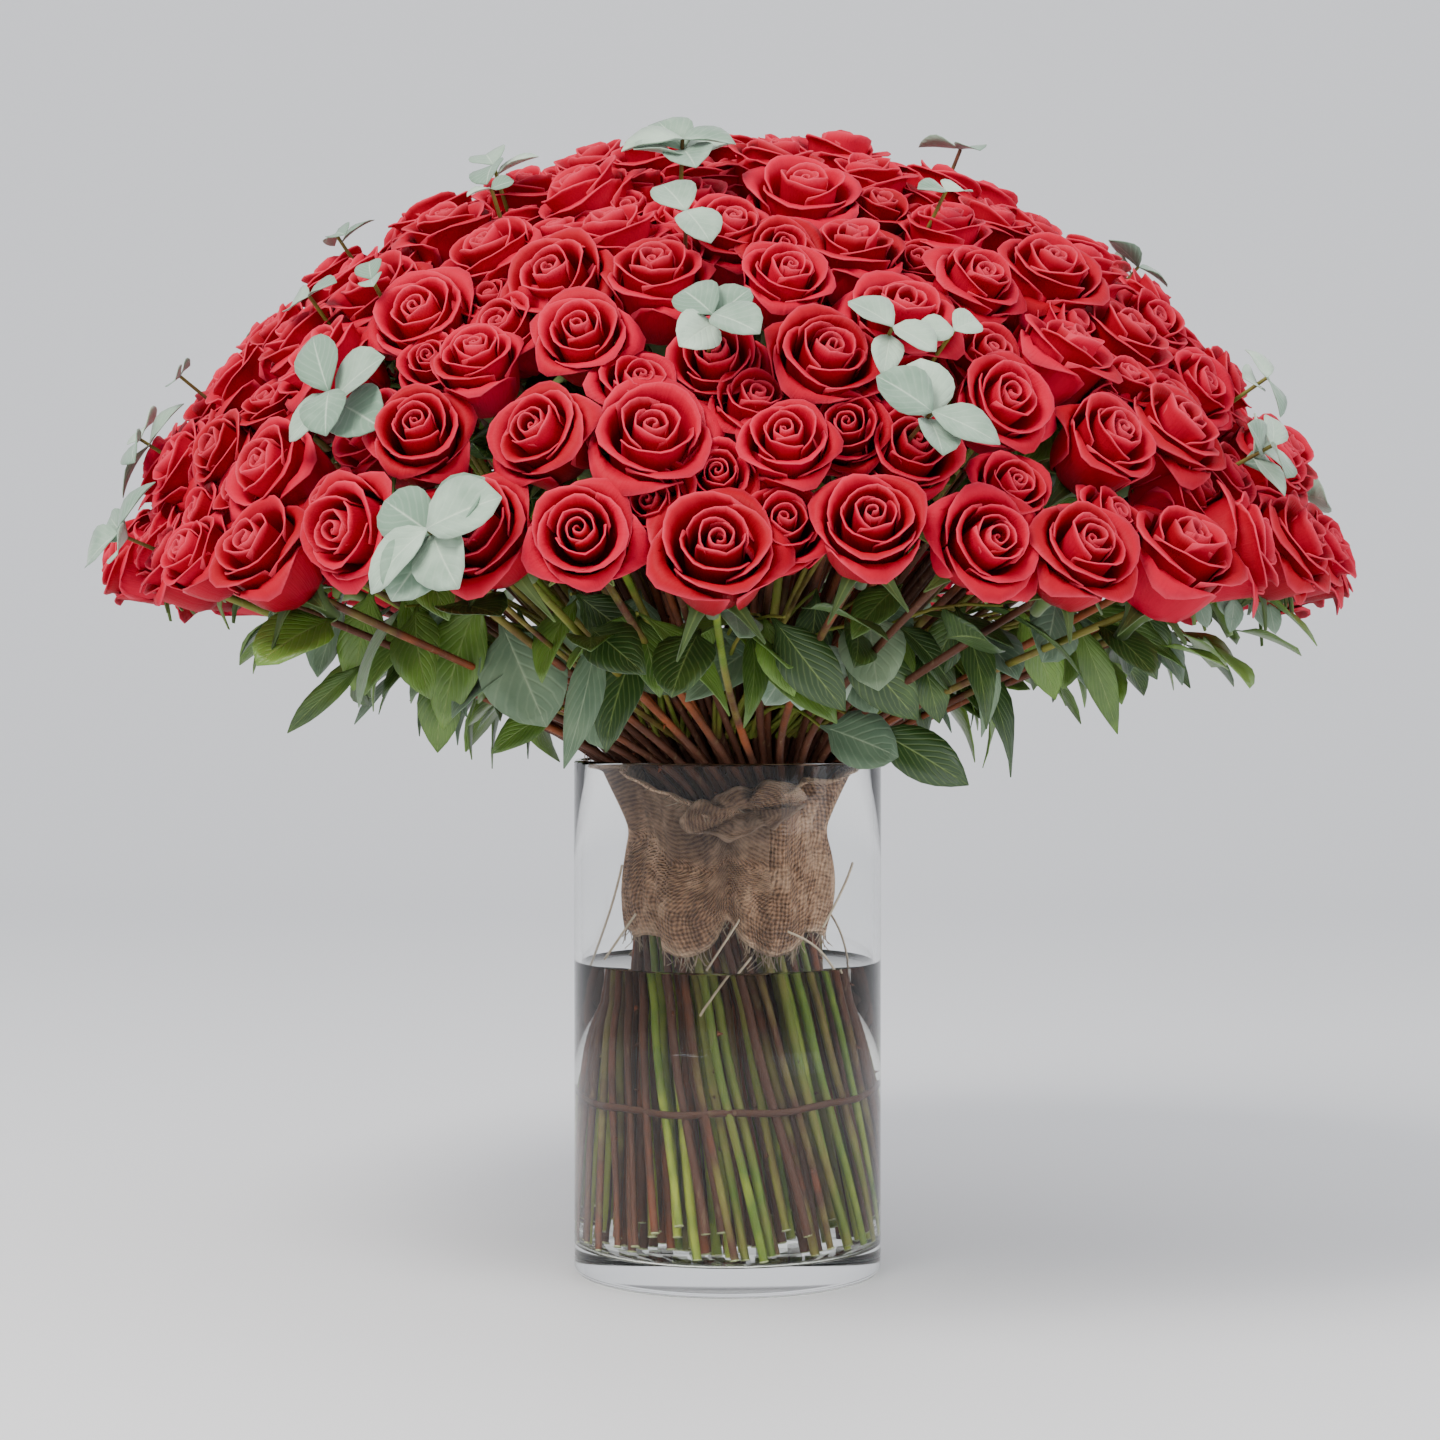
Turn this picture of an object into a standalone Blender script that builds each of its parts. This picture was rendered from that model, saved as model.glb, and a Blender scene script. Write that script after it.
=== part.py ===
"""A dome of red roses with eucalyptus and leafy sprays, wrapped in burlap and standing in
a clear cylindrical glass vase of water. Metres, +Z up, origin under the vase's centre,
front towards -Y."""

import math

import bmesh
import bpy
import numpy as np
from mathutils import Vector

# Clearances that neighbouring solids keep
TOUCH = 0.0003
SEAT_GAP = 0.0004
STEM_GAP = 0.0015
HEAD_GAP = 0.0008

# Vase and water
VASE_RADIUS = 0.075
VASE_HEIGHT = 0.250
VASE_WALL = 0.0035
VASE_BASE = 0.014
RIM_ROUND = 0.001
VASE_SIDES = 36
WATER_LEVEL = 0.150

# Bundled stems: straight lines that cross as they pass through the wrap
STEM_RADIUS = 0.0080
STEM_SIDES = 6
STEM_RINGS = 4
INNER_STEMS = 6
OUTER_STEMS = 12
WAIST_BELOW_RIM = 0.045
STEM_TOP_ABOVE_RIM = 0.0055
FOOT_CLEARANCE = 0.005

# Dome of roses: part of a sphere whose centre lies just under the rim
DOME_RADIUS = 0.300
DOME_CENTRE_BELOW_RIM = 0.018
DOME_POLAR = math.radians(68)
HEAD_RADIUS = 0.0195
HEAD_SIDES = 6
CROWDING = 1.27
NECK_RADIUS = 0.0020
NECK_STAGGER = 0.0003
HUB_RADIUS = 0.0115
HUB_DISTANCE = 0.150
HUB_PROFILE = ((-0.45, 0.95), (0.35, 0.95), (0.95, 0.45))
INNER_POLAR = math.radians(27.5)
OUTER_POLAR = math.radians(55)
SWIRL = math.radians(-38)
TRUNK_RINGS = 5
TRUNK_PULL_LOW = 0.22
TRUNK_PULL_HIGH = 0.45

# Each ring of a rose head: its height on the dome's radius and its share of the head's radius
HEAD_PROFILE = ((-0.030, 0.26), (0.003, 1.0), (0.019, 0.66))

# Burlap wrap
WRAP_THICKNESS = 0.0045
WRAP_BOTTOM_BELOW_RIM = 0.082
WRAP_SIDES = 36
WRAP_FLARE_SIDE = 0.0010
WRAP_FLARE_FRONT = 0.45
WRAP_FOLD = 0.0012
WRAP_FOLDS = 6
WRAP_FRONT_DIP = 0.020
WRAP_MOUTH_RISE = 0.012

# Binding band round the stems, low in the water
BAND_HEIGHT = 0.086
BAND_WIDTH = 0.004
BAND_THICKNESS = 0.0015
BAND_SIDES = 24

# Eucalyptus sprigs: polar angle and azimuth from the front, in degrees
SPRIG_PLACES = ((28, 1), (49, -2), (57, -32), (64, -60), (61, 17), (58, 58), (48, 128), (52, -140))
STALK_SIDES = 5
SPRIG_STALK = 0.0012
SPRIG_LEAF = 0.0125
SPRIG_REACH = 0.028
SPRIG_FOOT = 0.4
SPRIG_LEAVES = 4
SPRIG_LEAF_LIFT = math.radians(43)
SPRIG_LEAF_BELOW_TIP = 0.005
SPRIG_LEAF_STAGGER = 0.004

# Leafy sprays under the dome, one in every gap between two outer stems that is named here
SPRAY_GAPS = (0, 1, 3, 4, 6, 7, 9, 10)
SPRAY_STALK = 0.0020
SPRAY_REACH = 0.150
SPRAY_RINGS = 5
SPRAY_DROP = 0.012
SPRAY_DROP_STEP = 0.010
SPRAY_ARCH = 0.012
SPRAY_BOW = 0.020
SPRAY_LEAVES = 6
SPRAY_FIRST_LEAF = 0.35
SPRAY_LAST_LEAF = 0.97
LEAF_DROOP = 0.28
LEAF_LENGTH = 0.052
LEAF_WIDTH = 0.026
LEAF_THICKNESS = 0.0012

WAIST_HEIGHT = VASE_HEIGHT - WAIST_BELOW_RIM
STEM_TOP = VASE_HEIGHT + STEM_TOP_ABOVE_RIM
BORE_RADIUS = VASE_RADIUS - VASE_WALL
DOME_CENTRE = Vector((0, 0, VASE_HEIGHT - DOME_CENTRE_BELOW_RIM))
STEM_PITCH = 2 * STEM_RADIUS + STEM_GAP
INNER_RING = STEM_PITCH
OUTER_RING = INNER_RING + STEM_PITCH * 1.12
FOOT_HEIGHT = VASE_BASE + TOUCH
FOOT_SPREAD = (BORE_RADIUS - FOOT_CLEARANCE - STEM_RADIUS) / OUTER_RING
TWIST = math.sqrt(FOOT_SPREAD**2 - 1) / (WAIST_HEIGHT - FOOT_HEIGHT)
FRONT = -math.pi / 2


def clear_scene():
    for old in list(bpy.data.objects):
        bpy.data.objects.remove(old, do_unlink=True)


def material(name, colour, roughness, metallic=0.0, alpha=1.0):
    made = bpy.data.materials.new(name)
    made.use_nodes = True
    shader = made.node_tree.nodes["Principled BSDF"]
    shader.inputs["Base Color"].default_value = (*colour, 1)
    shader.inputs["Roughness"].default_value = roughness
    shader.inputs["Metallic"].default_value = metallic
    shader.inputs["Alpha"].default_value = alpha
    return made


def add_object(name, mesh, look, smooth=True):
    made = bpy.data.objects.new(name, mesh)
    bpy.context.scene.collection.objects.link(made)
    mesh.materials.append(look)
    if smooth:
        mesh.shade_smooth()
        mesh.set_sharp_from_angle(angle=math.radians(40))
    return made


def hide_helper(helper):
    helper.hide_render = True
    helper.display_type = "WIRE"


def mesh_from(name, shape):
    bmesh.ops.recalc_face_normals(shape, faces=shape.faces)
    made = bpy.data.meshes.new(name)
    shape.to_mesh(made)
    shape.free()
    return made


def add_loops(shape, loops):
    """Joins closed loops of points, each with the same count, into one capped tube."""
    rings = [[shape.verts.new(point) for point in loop] for loop in loops]
    count = len(rings[0])
    for low, high in zip(rings, rings[1:]):
        for i in range(count):
            j = (i + 1) % count
            shape.faces.new((low[i], low[j], high[j], high[i]))
    shape.faces.new(reversed(rings[0]))
    shape.faces.new(rings[-1])


def square_to(axis, side):
    """The part of side that is square to axis."""
    return (side - axis * side.dot(axis)).normalized()


def circle(centre, axis, side, radius, count):
    """Points of a regular polygon across axis, starting from side."""
    u = square_to(axis, side)
    v = axis.cross(u)
    turns = [2 * math.pi * i / count for i in range(count)]
    return [centre + radius * (math.cos(t) * u + math.sin(t) * v) for t in turns]


def add_tube(shape, points, radii, count, axes):
    """A tube through points, with one radius and one axis for each."""
    side = axes[0].orthogonal()
    loops = []
    for point, radius, axis in zip(points, radii, axes):
        side = square_to(axis, side)
        loops.append(circle(point, axis, side, radius, count))
    add_loops(shape, loops)


def turned_mesh(name, outline, count):
    """A closed outline of (radius, height) turned round Z; it starts and ends on the axis."""
    shape = bmesh.new()
    start = shape.verts.new((0, 0, outline[0][1]))
    end = shape.verts.new((0, 0, outline[-1][1]))
    up = Vector((0, 0, 1))
    side = Vector((1, 0, 0))
    rings = []
    for radius, height in outline[1:-1]:
        loop = circle(Vector((0, 0, height)), up, side, radius, count)
        rings.append([shape.verts.new(point) for point in loop])
    for i in range(count):
        j = (i + 1) % count
        shape.faces.new((start, rings[0][j], rings[0][i]))
        shape.faces.new((end, rings[-1][i], rings[-1][j]))
        for low, high in zip(rings, rings[1:]):
            shape.faces.new((low[i], low[j], high[j], high[i]))
    return mesh_from(name, shape)


def on_dome(polar, azimuth, distance):
    """A point at this distance from the dome's centre."""
    flat = math.sin(polar)
    return DOME_CENTRE + distance * Vector(
        (flat * math.cos(azimuth), flat * math.sin(azimuth), math.cos(polar))
    )


def spread_places():
    """Directions of the roses: points on the cap that push each other apart."""
    pitch = 2 * HEAD_RADIUS + HEAD_GAP
    cap = 1 - math.cos(DOME_POLAR)
    count = round(2 * math.pi * cap * DOME_RADIUS**2 / (CROWDING * pitch**2))
    number = np.arange(count) + 0.5
    up = 1 - number / count * cap
    turn = number * math.pi * (3 - math.sqrt(5))
    flat = np.sqrt(1 - up**2)
    places = np.stack([flat * np.cos(turn), flat * np.sin(turn), up], 1)
    spacing = math.sqrt(2 * math.pi * cap / count)
    for _ in range(200):
        apart = places[:, None] - places[None]
        length = np.linalg.norm(apart, axis=2) + np.eye(count) * 9
        push = np.clip(1 - length / (1.25 * spacing), 0, 1) / length
        places += (apart * push[..., None]).sum(1) * spacing * 0.25
        places /= np.linalg.norm(places, axis=1)[:, None]
        polar = np.minimum(np.arccos(np.clip(places[:, 2], -1, 1)), DOME_POLAR)
        turn = np.arctan2(places[:, 1], places[:, 0])
        flat = np.sin(polar)
        places = np.stack([flat * np.cos(turn), flat * np.sin(turn), np.cos(polar)], 1)
    return [Vector(place) for place in places]


def bunch_layout():
    """(radius at the waist, azimuth at the waist, polar angle of its roses) of each bunch."""
    layout = [(0.0, FRONT, 0.0)]
    for i in range(INNER_STEMS):
        layout.append((INNER_RING, FRONT + 2 * math.pi * i / INNER_STEMS, INNER_POLAR))
    for i in range(OUTER_STEMS):
        layout.append((OUTER_RING, FRONT + 2 * math.pi * (i + 0.5) / OUTER_STEMS, OUTER_POLAR))
    return layout


def stem_point(bunch, height):
    """Where this bunch's straight stems pass the given height."""
    radius, azimuth, _ = bunch
    rise = TWIST * (height - WAIST_HEIGHT)
    turn = azimuth - math.atan(rise)
    reach = radius * math.sqrt(1 + rise**2)
    return Vector((reach * math.cos(turn), reach * math.sin(turn), height))


def hub_azimuth(bunch):
    return bunch[1] + SWIRL


def hub_point(bunch):
    return on_dome(bunch[2], hub_azimuth(bunch), HUB_DISTANCE)


def make_vase(look):
    inner = BORE_RADIUS
    outer = VASE_RADIUS
    top = VASE_HEIGHT
    outline = (
        (0, 0),
        (outer - RIM_ROUND, 0),
        (outer, RIM_ROUND),
        (outer, top - RIM_ROUND),
        ((outer + inner) / 2, top),
        (inner, top - RIM_ROUND),
        (inner, VASE_BASE),
        (0, VASE_BASE),
    )
    return add_object("glass_vase", turned_mesh("glass_vase", outline, VASE_SIDES), look)


def stem_rings(bunch, low, high, grow):
    """Points and radii of a straight stem bundle between two heights."""
    heights = [low + (high - low) * i / (STEM_RINGS - 1) for i in range(STEM_RINGS)]
    return [stem_point(bunch, h) for h in heights], [STEM_RADIUS + grow] * STEM_RINGS


def make_stems(layout, look):
    axes = [Vector((0, 0, 1))] * STEM_RINGS
    for i, bunch in enumerate(layout):
        shape = bmesh.new()
        add_tube(shape, *stem_rings(bunch, FOOT_HEIGHT, STEM_TOP, 0), STEM_SIDES, axes)
        add_object(f"stem_bundle_{i + 1:02}", mesh_from("stem_bundle", shape), look)


def band_loops(grow):
    """Loops of the binding band's section, each grown by this much."""
    # The flats must clear the stems, so the corners lie a little further out.
    around = (outer_edge(BAND_HEIGHT) + TOUCH) / math.cos(math.pi / BAND_SIDES)
    inner = around - grow
    outer = around + BAND_THICKNESS + grow
    low = BAND_HEIGHT - BAND_WIDTH / 2 - grow
    high = BAND_HEIGHT + BAND_WIDTH / 2 + grow
    return ((inner, low), (outer, low), (outer, high), (inner, high))


def ring_mesh(name, section, count):
    """A closed section of (radius, height) turned into a ring; section may be a function."""
    shape = bmesh.new()
    rings = []
    for i in range(count):
        turn = 2 * math.pi * i / count
        points = section(turn) if callable(section) else section
        rings.append(
            [shape.verts.new((r * math.cos(turn), r * math.sin(turn), z)) for r, z in points]
        )
    for low, high in zip(rings, rings[1:] + rings[:1]):
        for i in range(len(low)):
            j = (i + 1) % len(low)
            shape.faces.new((low[i], high[i], high[j], low[j]))
    return mesh_from(name, shape)


def outer_edge(height):
    """Radius that just clears the outer stem bundles at this height."""
    rise = TWIST * (height - WAIST_HEIGHT)
    return OUTER_RING * math.sqrt(1 + rise**2) + STEM_RADIUS


def make_band(look):
    mesh = ring_mesh("binding_band", band_loops(0), BAND_SIDES)
    return add_object("binding_band", mesh, look)


def make_water(layout, look):
    """Water between the base and its level, cut round the stems and the band."""
    edge = BORE_RADIUS * math.cos(math.pi / VASE_SIDES) - TOUCH
    low = VASE_BASE + TOUCH
    outline = (
        (0, low),
        (edge, low),
        (edge, WATER_LEVEL),
        (0, WATER_LEVEL),
    )
    water = add_object("water", turned_mesh("water", outline, VASE_SIDES), look)
    cutters = bpy.data.collections.new("water_cutters")
    bpy.context.scene.collection.children.link(cutters)
    beyond = 10 * TOUCH
    axes = [Vector((0, 0, 1))] * STEM_RINGS
    for i, bunch in enumerate(layout):
        shape = bmesh.new()
        rings = stem_rings(bunch, FOOT_HEIGHT - beyond, WATER_LEVEL + beyond, 1.2 * TOUCH)
        add_tube(shape, *rings, STEM_SIDES, axes)
        cutter = bpy.data.objects.new(f"cut_stem_{i + 1:02}", mesh_from("cut_stem", shape))
        cutters.objects.link(cutter)
        hide_helper(cutter)
    band = ring_mesh("cut_band", band_loops(1.5 * TOUCH), BAND_SIDES)
    cutter = bpy.data.objects.new("cut_band", band)
    cutters.objects.link(cutter)
    hide_helper(cutter)
    cut = water.modifiers.new("clear_of_stems", "BOOLEAN")
    cut.operation = "DIFFERENCE"
    cut.operand_type = "COLLECTION"
    cut.collection = cutters
    cut.solver = "EXACT"
    return water


def wrap_section(turn):
    """The burlap's section at this azimuth: snug at the waist, flared at its top."""
    bottom = VASE_HEIGHT - WRAP_BOTTOM_BELOW_RIM
    flat = 1 / math.cos(math.pi / WRAP_SIDES)
    fold = WRAP_FOLD * (1 + math.cos(WRAP_FOLDS * turn))
    snug = outer_edge(bottom) * flat + TOUCH
    widest = BORE_RADIUS - TOUCH - WRAP_FLARE_SIDE - WRAP_THICKNESS - 2 * WRAP_FOLD
    widest *= math.cos(math.pi / VASE_SIDES)
    sideways = abs(math.cos(turn)) ** 1.5
    share = WRAP_FLARE_FRONT + (1 - WRAP_FLARE_FRONT) * sideways
    mouth = snug + (widest - snug) * share
    top = VASE_HEIGHT - WRAP_FRONT_DIP * (1 - sideways)
    shoulder = ((snug + mouth) / 2, top - WRAP_MOUTH_RISE)
    inside = ((snug, bottom), (snug, WAIST_HEIGHT), shoulder, (mouth, top))
    outside = [(r + WRAP_THICKNESS + fold, z) for r, z in reversed(inside)]
    return list(inside) + outside


def make_wrap(look):
    return add_object("burlap_wrap", ring_mesh("burlap_wrap", wrap_section, WRAP_SIDES), look)


def trunk_points(bunch):
    """The bunch's way from the top of its stems to its hub, as a smooth bend."""
    low = stem_point(bunch, STEM_TOP + TOUCH)
    hub = hub_point(bunch)
    lean = (stem_point(bunch, STEM_TOP) - stem_point(bunch, WAIST_HEIGHT)).normalized()
    reach = (hub - low).length
    first = low + lean * reach * TRUNK_PULL_LOW
    second = hub - (hub - DOME_CENTRE).normalized() * reach * TRUNK_PULL_HIGH
    points = []
    for i in range(TRUNK_RINGS):
        t = i / (TRUNK_RINGS - 1)
        s = 1 - t
        points.append(
            s**3 * low + 3 * s * s * t * first + 3 * s * t * t * second + t**3 * hub
        )
    return points


def add_rose(shape, hub, place, order, grow):
    """A neck from the hub and a six-sided head facing along the dome's radius."""
    centre = DOME_CENTRE + place * DOME_RADIUS
    under = centre + place * HEAD_PROFILE[0][0]
    along = (under - hub).normalized()
    points = [hub - along * NECK_STAGGER * order]
    radii = [NECK_RADIUS + grow]
    axes = [along]
    for height, share in HEAD_PROFILE:
        points.append(centre + place * height)
        radii.append(HEAD_RADIUS * share + grow)
        axes.append(place)
    add_tube(shape, points, radii, HEAD_SIDES, axes)


def add_trunk(shape, bunch, grow):
    """The bunch's gathered necks as one bent tube that ends in a knob, grown by this much."""
    path = trunk_points(bunch)
    outwards = (path[-1] - DOME_CENTRE).normalized()
    points = path[:-1]
    radii = [STEM_RADIUS + grow] * len(points)
    axes = [Vector((0, 0, 1))]
    for i in range(1, len(points)):
        axes.append((path[i + 1] - path[i - 1]).normalized())
    for along, share in HUB_PROFILE:
        points.append(path[-1] + outwards * HUB_RADIUS * along)
        radii.append(HUB_RADIUS * share + grow)
        axes.append(outwards)
    add_tube(shape, points, radii, STEM_SIDES, axes)


def make_cluster(number, bunch, places, look):
    """The trunk and knob of one bunch, joined with its roses."""
    shape = bmesh.new()
    add_trunk(shape, bunch, 0)
    cluster = add_object(f"rose_cluster_{number:02}", mesh_from("rose_cluster", shape), look)
    shape = bmesh.new()
    for order, place in enumerate(places):
        add_rose(shape, hub_point(bunch), place, order, 0)
    roses = bpy.data.objects.new(f"roses_{number:02}", mesh_from("roses", shape))
    bpy.context.scene.collection.objects.link(roses)
    hide_helper(roses)
    join = cluster.modifiers.new("roses", "BOOLEAN")
    join.operation = "UNION"
    join.object = roses
    join.solver = "EXACT"
    join.use_self = True
    return cluster


def add_leaf(shape, base, along, across, length, width, thickness):
    """A flat pointed leaf, one closed six-sided plate, whose foot lies at base."""
    normal = along.cross(across).normalized() * thickness / 2
    shares = ((0.0, 0.12), (0.45, 1.0), (1.0, 0.06))
    right = [base + along * length * t + across * width / 2 * w for t, w in shares]
    left = [base + along * length * t - across * width / 2 * w for t, w in reversed(shares)]
    outline = right + left
    add_loops(shape, ([p - normal for p in outline], [p + normal for p in outline]))


def make_union(name, points, radii, axes, leaves, look):
    """A stalk joined with its leaves."""
    shape = bmesh.new()
    add_tube(shape, points, radii, STALK_SIDES, axes)
    stalk = add_object(name, mesh_from(name, shape), look)
    shape = bmesh.new()
    for leaf in leaves:
        add_leaf(shape, *leaf)
    helper = bpy.data.objects.new(f"{name}_leaves", mesh_from(name, shape))
    bpy.context.scene.collection.objects.link(helper)
    hide_helper(helper)
    join = stalk.modifiers.new("leaves", "BOOLEAN")
    join.operation = "UNION"
    join.object = helper
    join.solver = "EXACT"
    join.use_self = True
    return stalk


def cut_seat(piece, shape):
    """Cuts the foot of a piece to lie against what carries it."""
    cutter = bpy.data.objects.new(f"cut_{piece.name}", mesh_from("seat", shape))
    bpy.context.scene.collection.objects.link(cutter)
    hide_helper(cutter)
    cut = piece.modifiers.new("seat", "BOOLEAN")
    cut.operation = "DIFFERENCE"
    cut.object = cutter
    cut.solver = "EXACT"


def make_sprig(number, place, hub, neighbour, look):
    """A eucalyptus sprig that leans on a neighbouring rose's neck and stands out of the dome."""
    lowest, share = HEAD_PROFILE[0]
    head = DOME_CENTRE + neighbour * (DOME_RADIUS + lowest)
    foot_on_neck = hub.lerp(head, SPRIG_FOOT)
    neck = NECK_RADIUS + (HEAD_RADIUS * share - NECK_RADIUS) * SPRIG_FOOT
    tip = DOME_CENTRE + place * (DOME_RADIUS + SPRIG_REACH)
    along_neck = (head - hub).normalized()
    to_tip = tip - foot_on_neck
    beside = (to_tip - along_neck * to_tip.dot(along_neck)).normalized()
    foot = foot_on_neck + beside * neck
    points = [foot, foot.lerp(tip, 0.5), DOME_CENTRE + place * DOME_RADIUS, tip]
    along = [(points[1] - foot).normalized()] * 2 + [place] * 2
    side = place.cross(Vector((0, 0, 1))).normalized()
    other = place.cross(side)
    leaves = []
    for i in range(SPRIG_LEAVES):
        turn = 2 * math.pi * (i + 0.5) / SPRIG_LEAVES
        flat = side * math.cos(turn) + other * math.sin(turn)
        out = flat * math.cos(SPRIG_LEAF_LIFT) + place * math.sin(SPRIG_LEAF_LIFT)
        across = out.cross(place).normalized()
        below = SPRIG_LEAF_BELOW_TIP + SPRIG_LEAF_STAGGER * (i % 2)
        base = DOME_CENTRE + place * (DOME_RADIUS + SPRIG_REACH - below)
        leaves.append((base, out, across, 2 * SPRIG_LEAF, 2 * SPRIG_LEAF, LEAF_THICKNESS))
    name = f"eucalyptus_sprig_{number:02}"
    sprig = make_union(name, points, [SPRIG_STALK] * 4, along, leaves, look)
    shape = bmesh.new()
    add_rose(shape, hub, neighbour, 0, SEAT_GAP)
    cut_seat(sprig, shape)
    return sprig


def spray_point(foot, tip, sideways, t):
    """A point at share t of the way along a spray's arched stalk."""
    arch = Vector((0, 0, SPRAY_ARCH * math.sin(math.pi * t)))
    return foot.lerp(tip, t) + arch + sideways * SPRAY_BOW * t * (1 - t)


def make_spray(number, gap, layout, look):
    """A leafy spray that leans on the outer trunk beside it and hangs under the dome."""
    trunk = layout[1 + INNER_STEMS + gap]
    path = trunk_points(trunk)
    start = path[2].lerp(path[3], 0.5)
    azimuth = hub_azimuth(trunk) + math.pi / OUTER_STEMS
    outward = Vector((math.cos(azimuth), math.sin(azimuth), 0))
    sideways = Vector((-outward.y, outward.x, 0))
    foot = start + square_to((path[3] - path[2]).normalized(), sideways) * STEM_RADIUS
    drop = SPRAY_DROP - SPRAY_DROP_STEP * (number % 3)
    tip = foot + outward * SPRAY_REACH - Vector((0, 0, drop))
    last = SPRAY_RINGS - 1
    points = [spray_point(foot, tip, sideways, i / last) for i in range(SPRAY_RINGS)]
    axes = []
    for i in range(SPRAY_RINGS):
        axes.append((points[min(i + 1, last)] - points[max(i - 1, 0)]).normalized())
    leaves = []
    for i in range(SPRAY_LEAVES):
        share = i / (SPRAY_LEAVES - 1)
        t = SPRAY_FIRST_LEAF + (SPRAY_LAST_LEAF - SPRAY_FIRST_LEAF) * share
        lean = 0 if i == SPRAY_LEAVES - 1 else (1, -1)[i % 2]
        along = outward * 0.55 + sideways * 0.75 * lean - Vector((0, 0, LEAF_DROOP))
        along.normalize()
        across = along.cross(Vector((0, 0, 1))).normalized()
        base = spray_point(foot, tip, sideways, t)
        leaves.append((base, along, across, LEAF_LENGTH, LEAF_WIDTH, LEAF_THICKNESS))
    name = f"foliage_spray_{number:02}"
    spray = make_union(name, points, [SPRAY_STALK] * SPRAY_RINGS, axes, leaves, look)
    shape = bmesh.new()
    add_trunk(shape, trunk, SEAT_GAP)
    cut_seat(spray, shape)
    return spray


def nearest(places, wanted):
    return max(range(len(places)), key=lambda i: places[i].dot(wanted))


def main():
    clear_scene()
    glass = material("clear_glass", (0.85, 0.90, 0.90), 0.03, alpha=0.35)
    liquid = material("water", (0.55, 0.56, 0.50), 0.05, alpha=0.5)
    burlap = material("burlap", (0.38, 0.22, 0.15), 0.9)
    twine = material("twine", (0.25, 0.13, 0.07), 0.8)
    stems = material("stems", (0.12, 0.13, 0.04), 0.6)
    petals = material("petals", (0.65, 0.004, 0.01), 0.5)
    mint = material("eucalyptus", (0.32, 0.50, 0.40), 0.7)
    leaf = material("leaves", (0.06, 0.19, 0.05), 0.45)

    layout = bunch_layout()
    make_vase(glass)
    make_water(layout, liquid)
    make_wrap(burlap)
    make_band(twine)
    make_stems(layout, stems)

    places = spread_places()
    centres = [(hub_point(bunch) - DOME_CENTRE).normalized() for bunch in layout]
    sprigs = []
    for polar, azimuth in SPRIG_PLACES:
        turn = FRONT + math.radians(azimuth)
        wanted = (on_dome(math.radians(polar), turn, 1) - DOME_CENTRE).normalized()
        sprigs.append(places.pop(nearest(places, wanted)))
    groups = [[] for _ in layout]
    for place in places:
        groups[nearest(centres, place)].append(place)
    for i, bunch in enumerate(layout):
        make_cluster(i + 1, bunch, groups[i], petals)
    for i, place in enumerate(sprigs):
        home = nearest(centres, place)
        beside = groups[home][nearest(groups[home], place)]
        make_sprig(i + 1, place, hub_point(layout[home]), beside, mint)
    for i, gap in enumerate(SPRAY_GAPS):
        make_spray(i + 1, gap, layout, leaf)


main()
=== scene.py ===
import math
import random

import bmesh
import bpy
import numpy as np
from mathutils import Matrix, Vector


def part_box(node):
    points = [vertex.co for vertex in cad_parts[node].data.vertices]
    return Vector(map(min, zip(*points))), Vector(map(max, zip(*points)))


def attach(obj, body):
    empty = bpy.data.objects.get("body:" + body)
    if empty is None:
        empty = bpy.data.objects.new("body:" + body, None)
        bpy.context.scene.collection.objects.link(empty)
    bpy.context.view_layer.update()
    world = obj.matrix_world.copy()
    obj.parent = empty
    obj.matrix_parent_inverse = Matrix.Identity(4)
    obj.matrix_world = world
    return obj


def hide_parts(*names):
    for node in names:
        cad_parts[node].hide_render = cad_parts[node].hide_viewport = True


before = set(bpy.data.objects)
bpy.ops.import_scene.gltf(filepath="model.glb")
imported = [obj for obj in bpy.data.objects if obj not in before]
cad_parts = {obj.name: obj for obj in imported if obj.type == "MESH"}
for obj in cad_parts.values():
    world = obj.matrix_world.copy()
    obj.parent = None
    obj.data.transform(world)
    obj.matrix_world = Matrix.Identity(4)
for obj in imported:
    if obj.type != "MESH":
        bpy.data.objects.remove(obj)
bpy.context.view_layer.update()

front = -math.pi / 2  # the side towards the camera
wholeTurn = 2 * math.pi
anyTurn = 6.28  # limit of the random turns
print("frame loaded")


# a node's output that can be added, multiplied and so on
class Signal:
    def __init__(self, kit, socket):
        self.kit = kit
        self.socket = socket

    def maths(self, operation, first, second=0.0, clamp=False):
        return self.kit.add("ShaderNodeMath", {"operation": operation, "use_clamp": clamp},
                            {0: first, 1: second})

    def __add__(self, other):
        return self.maths("ADD", self, other)

    def __sub__(self, other):
        return self.maths("SUBTRACT", self, other)

    def __rsub__(self, other):
        return self.maths("SUBTRACT", other, self)

    def __radd__(self, other):
        return self.maths("ADD", other, self)

    def __mul__(self, other):
        return self.maths("MULTIPLY", self, other)

    def __pow__(self, other):
        return self.maths("POWER", self, other)

    def sine(self):
        return self.maths("SINE", self)

    def clamped(self):
        return self.maths("ADD", self, 0.0, clamp=True)


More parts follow.
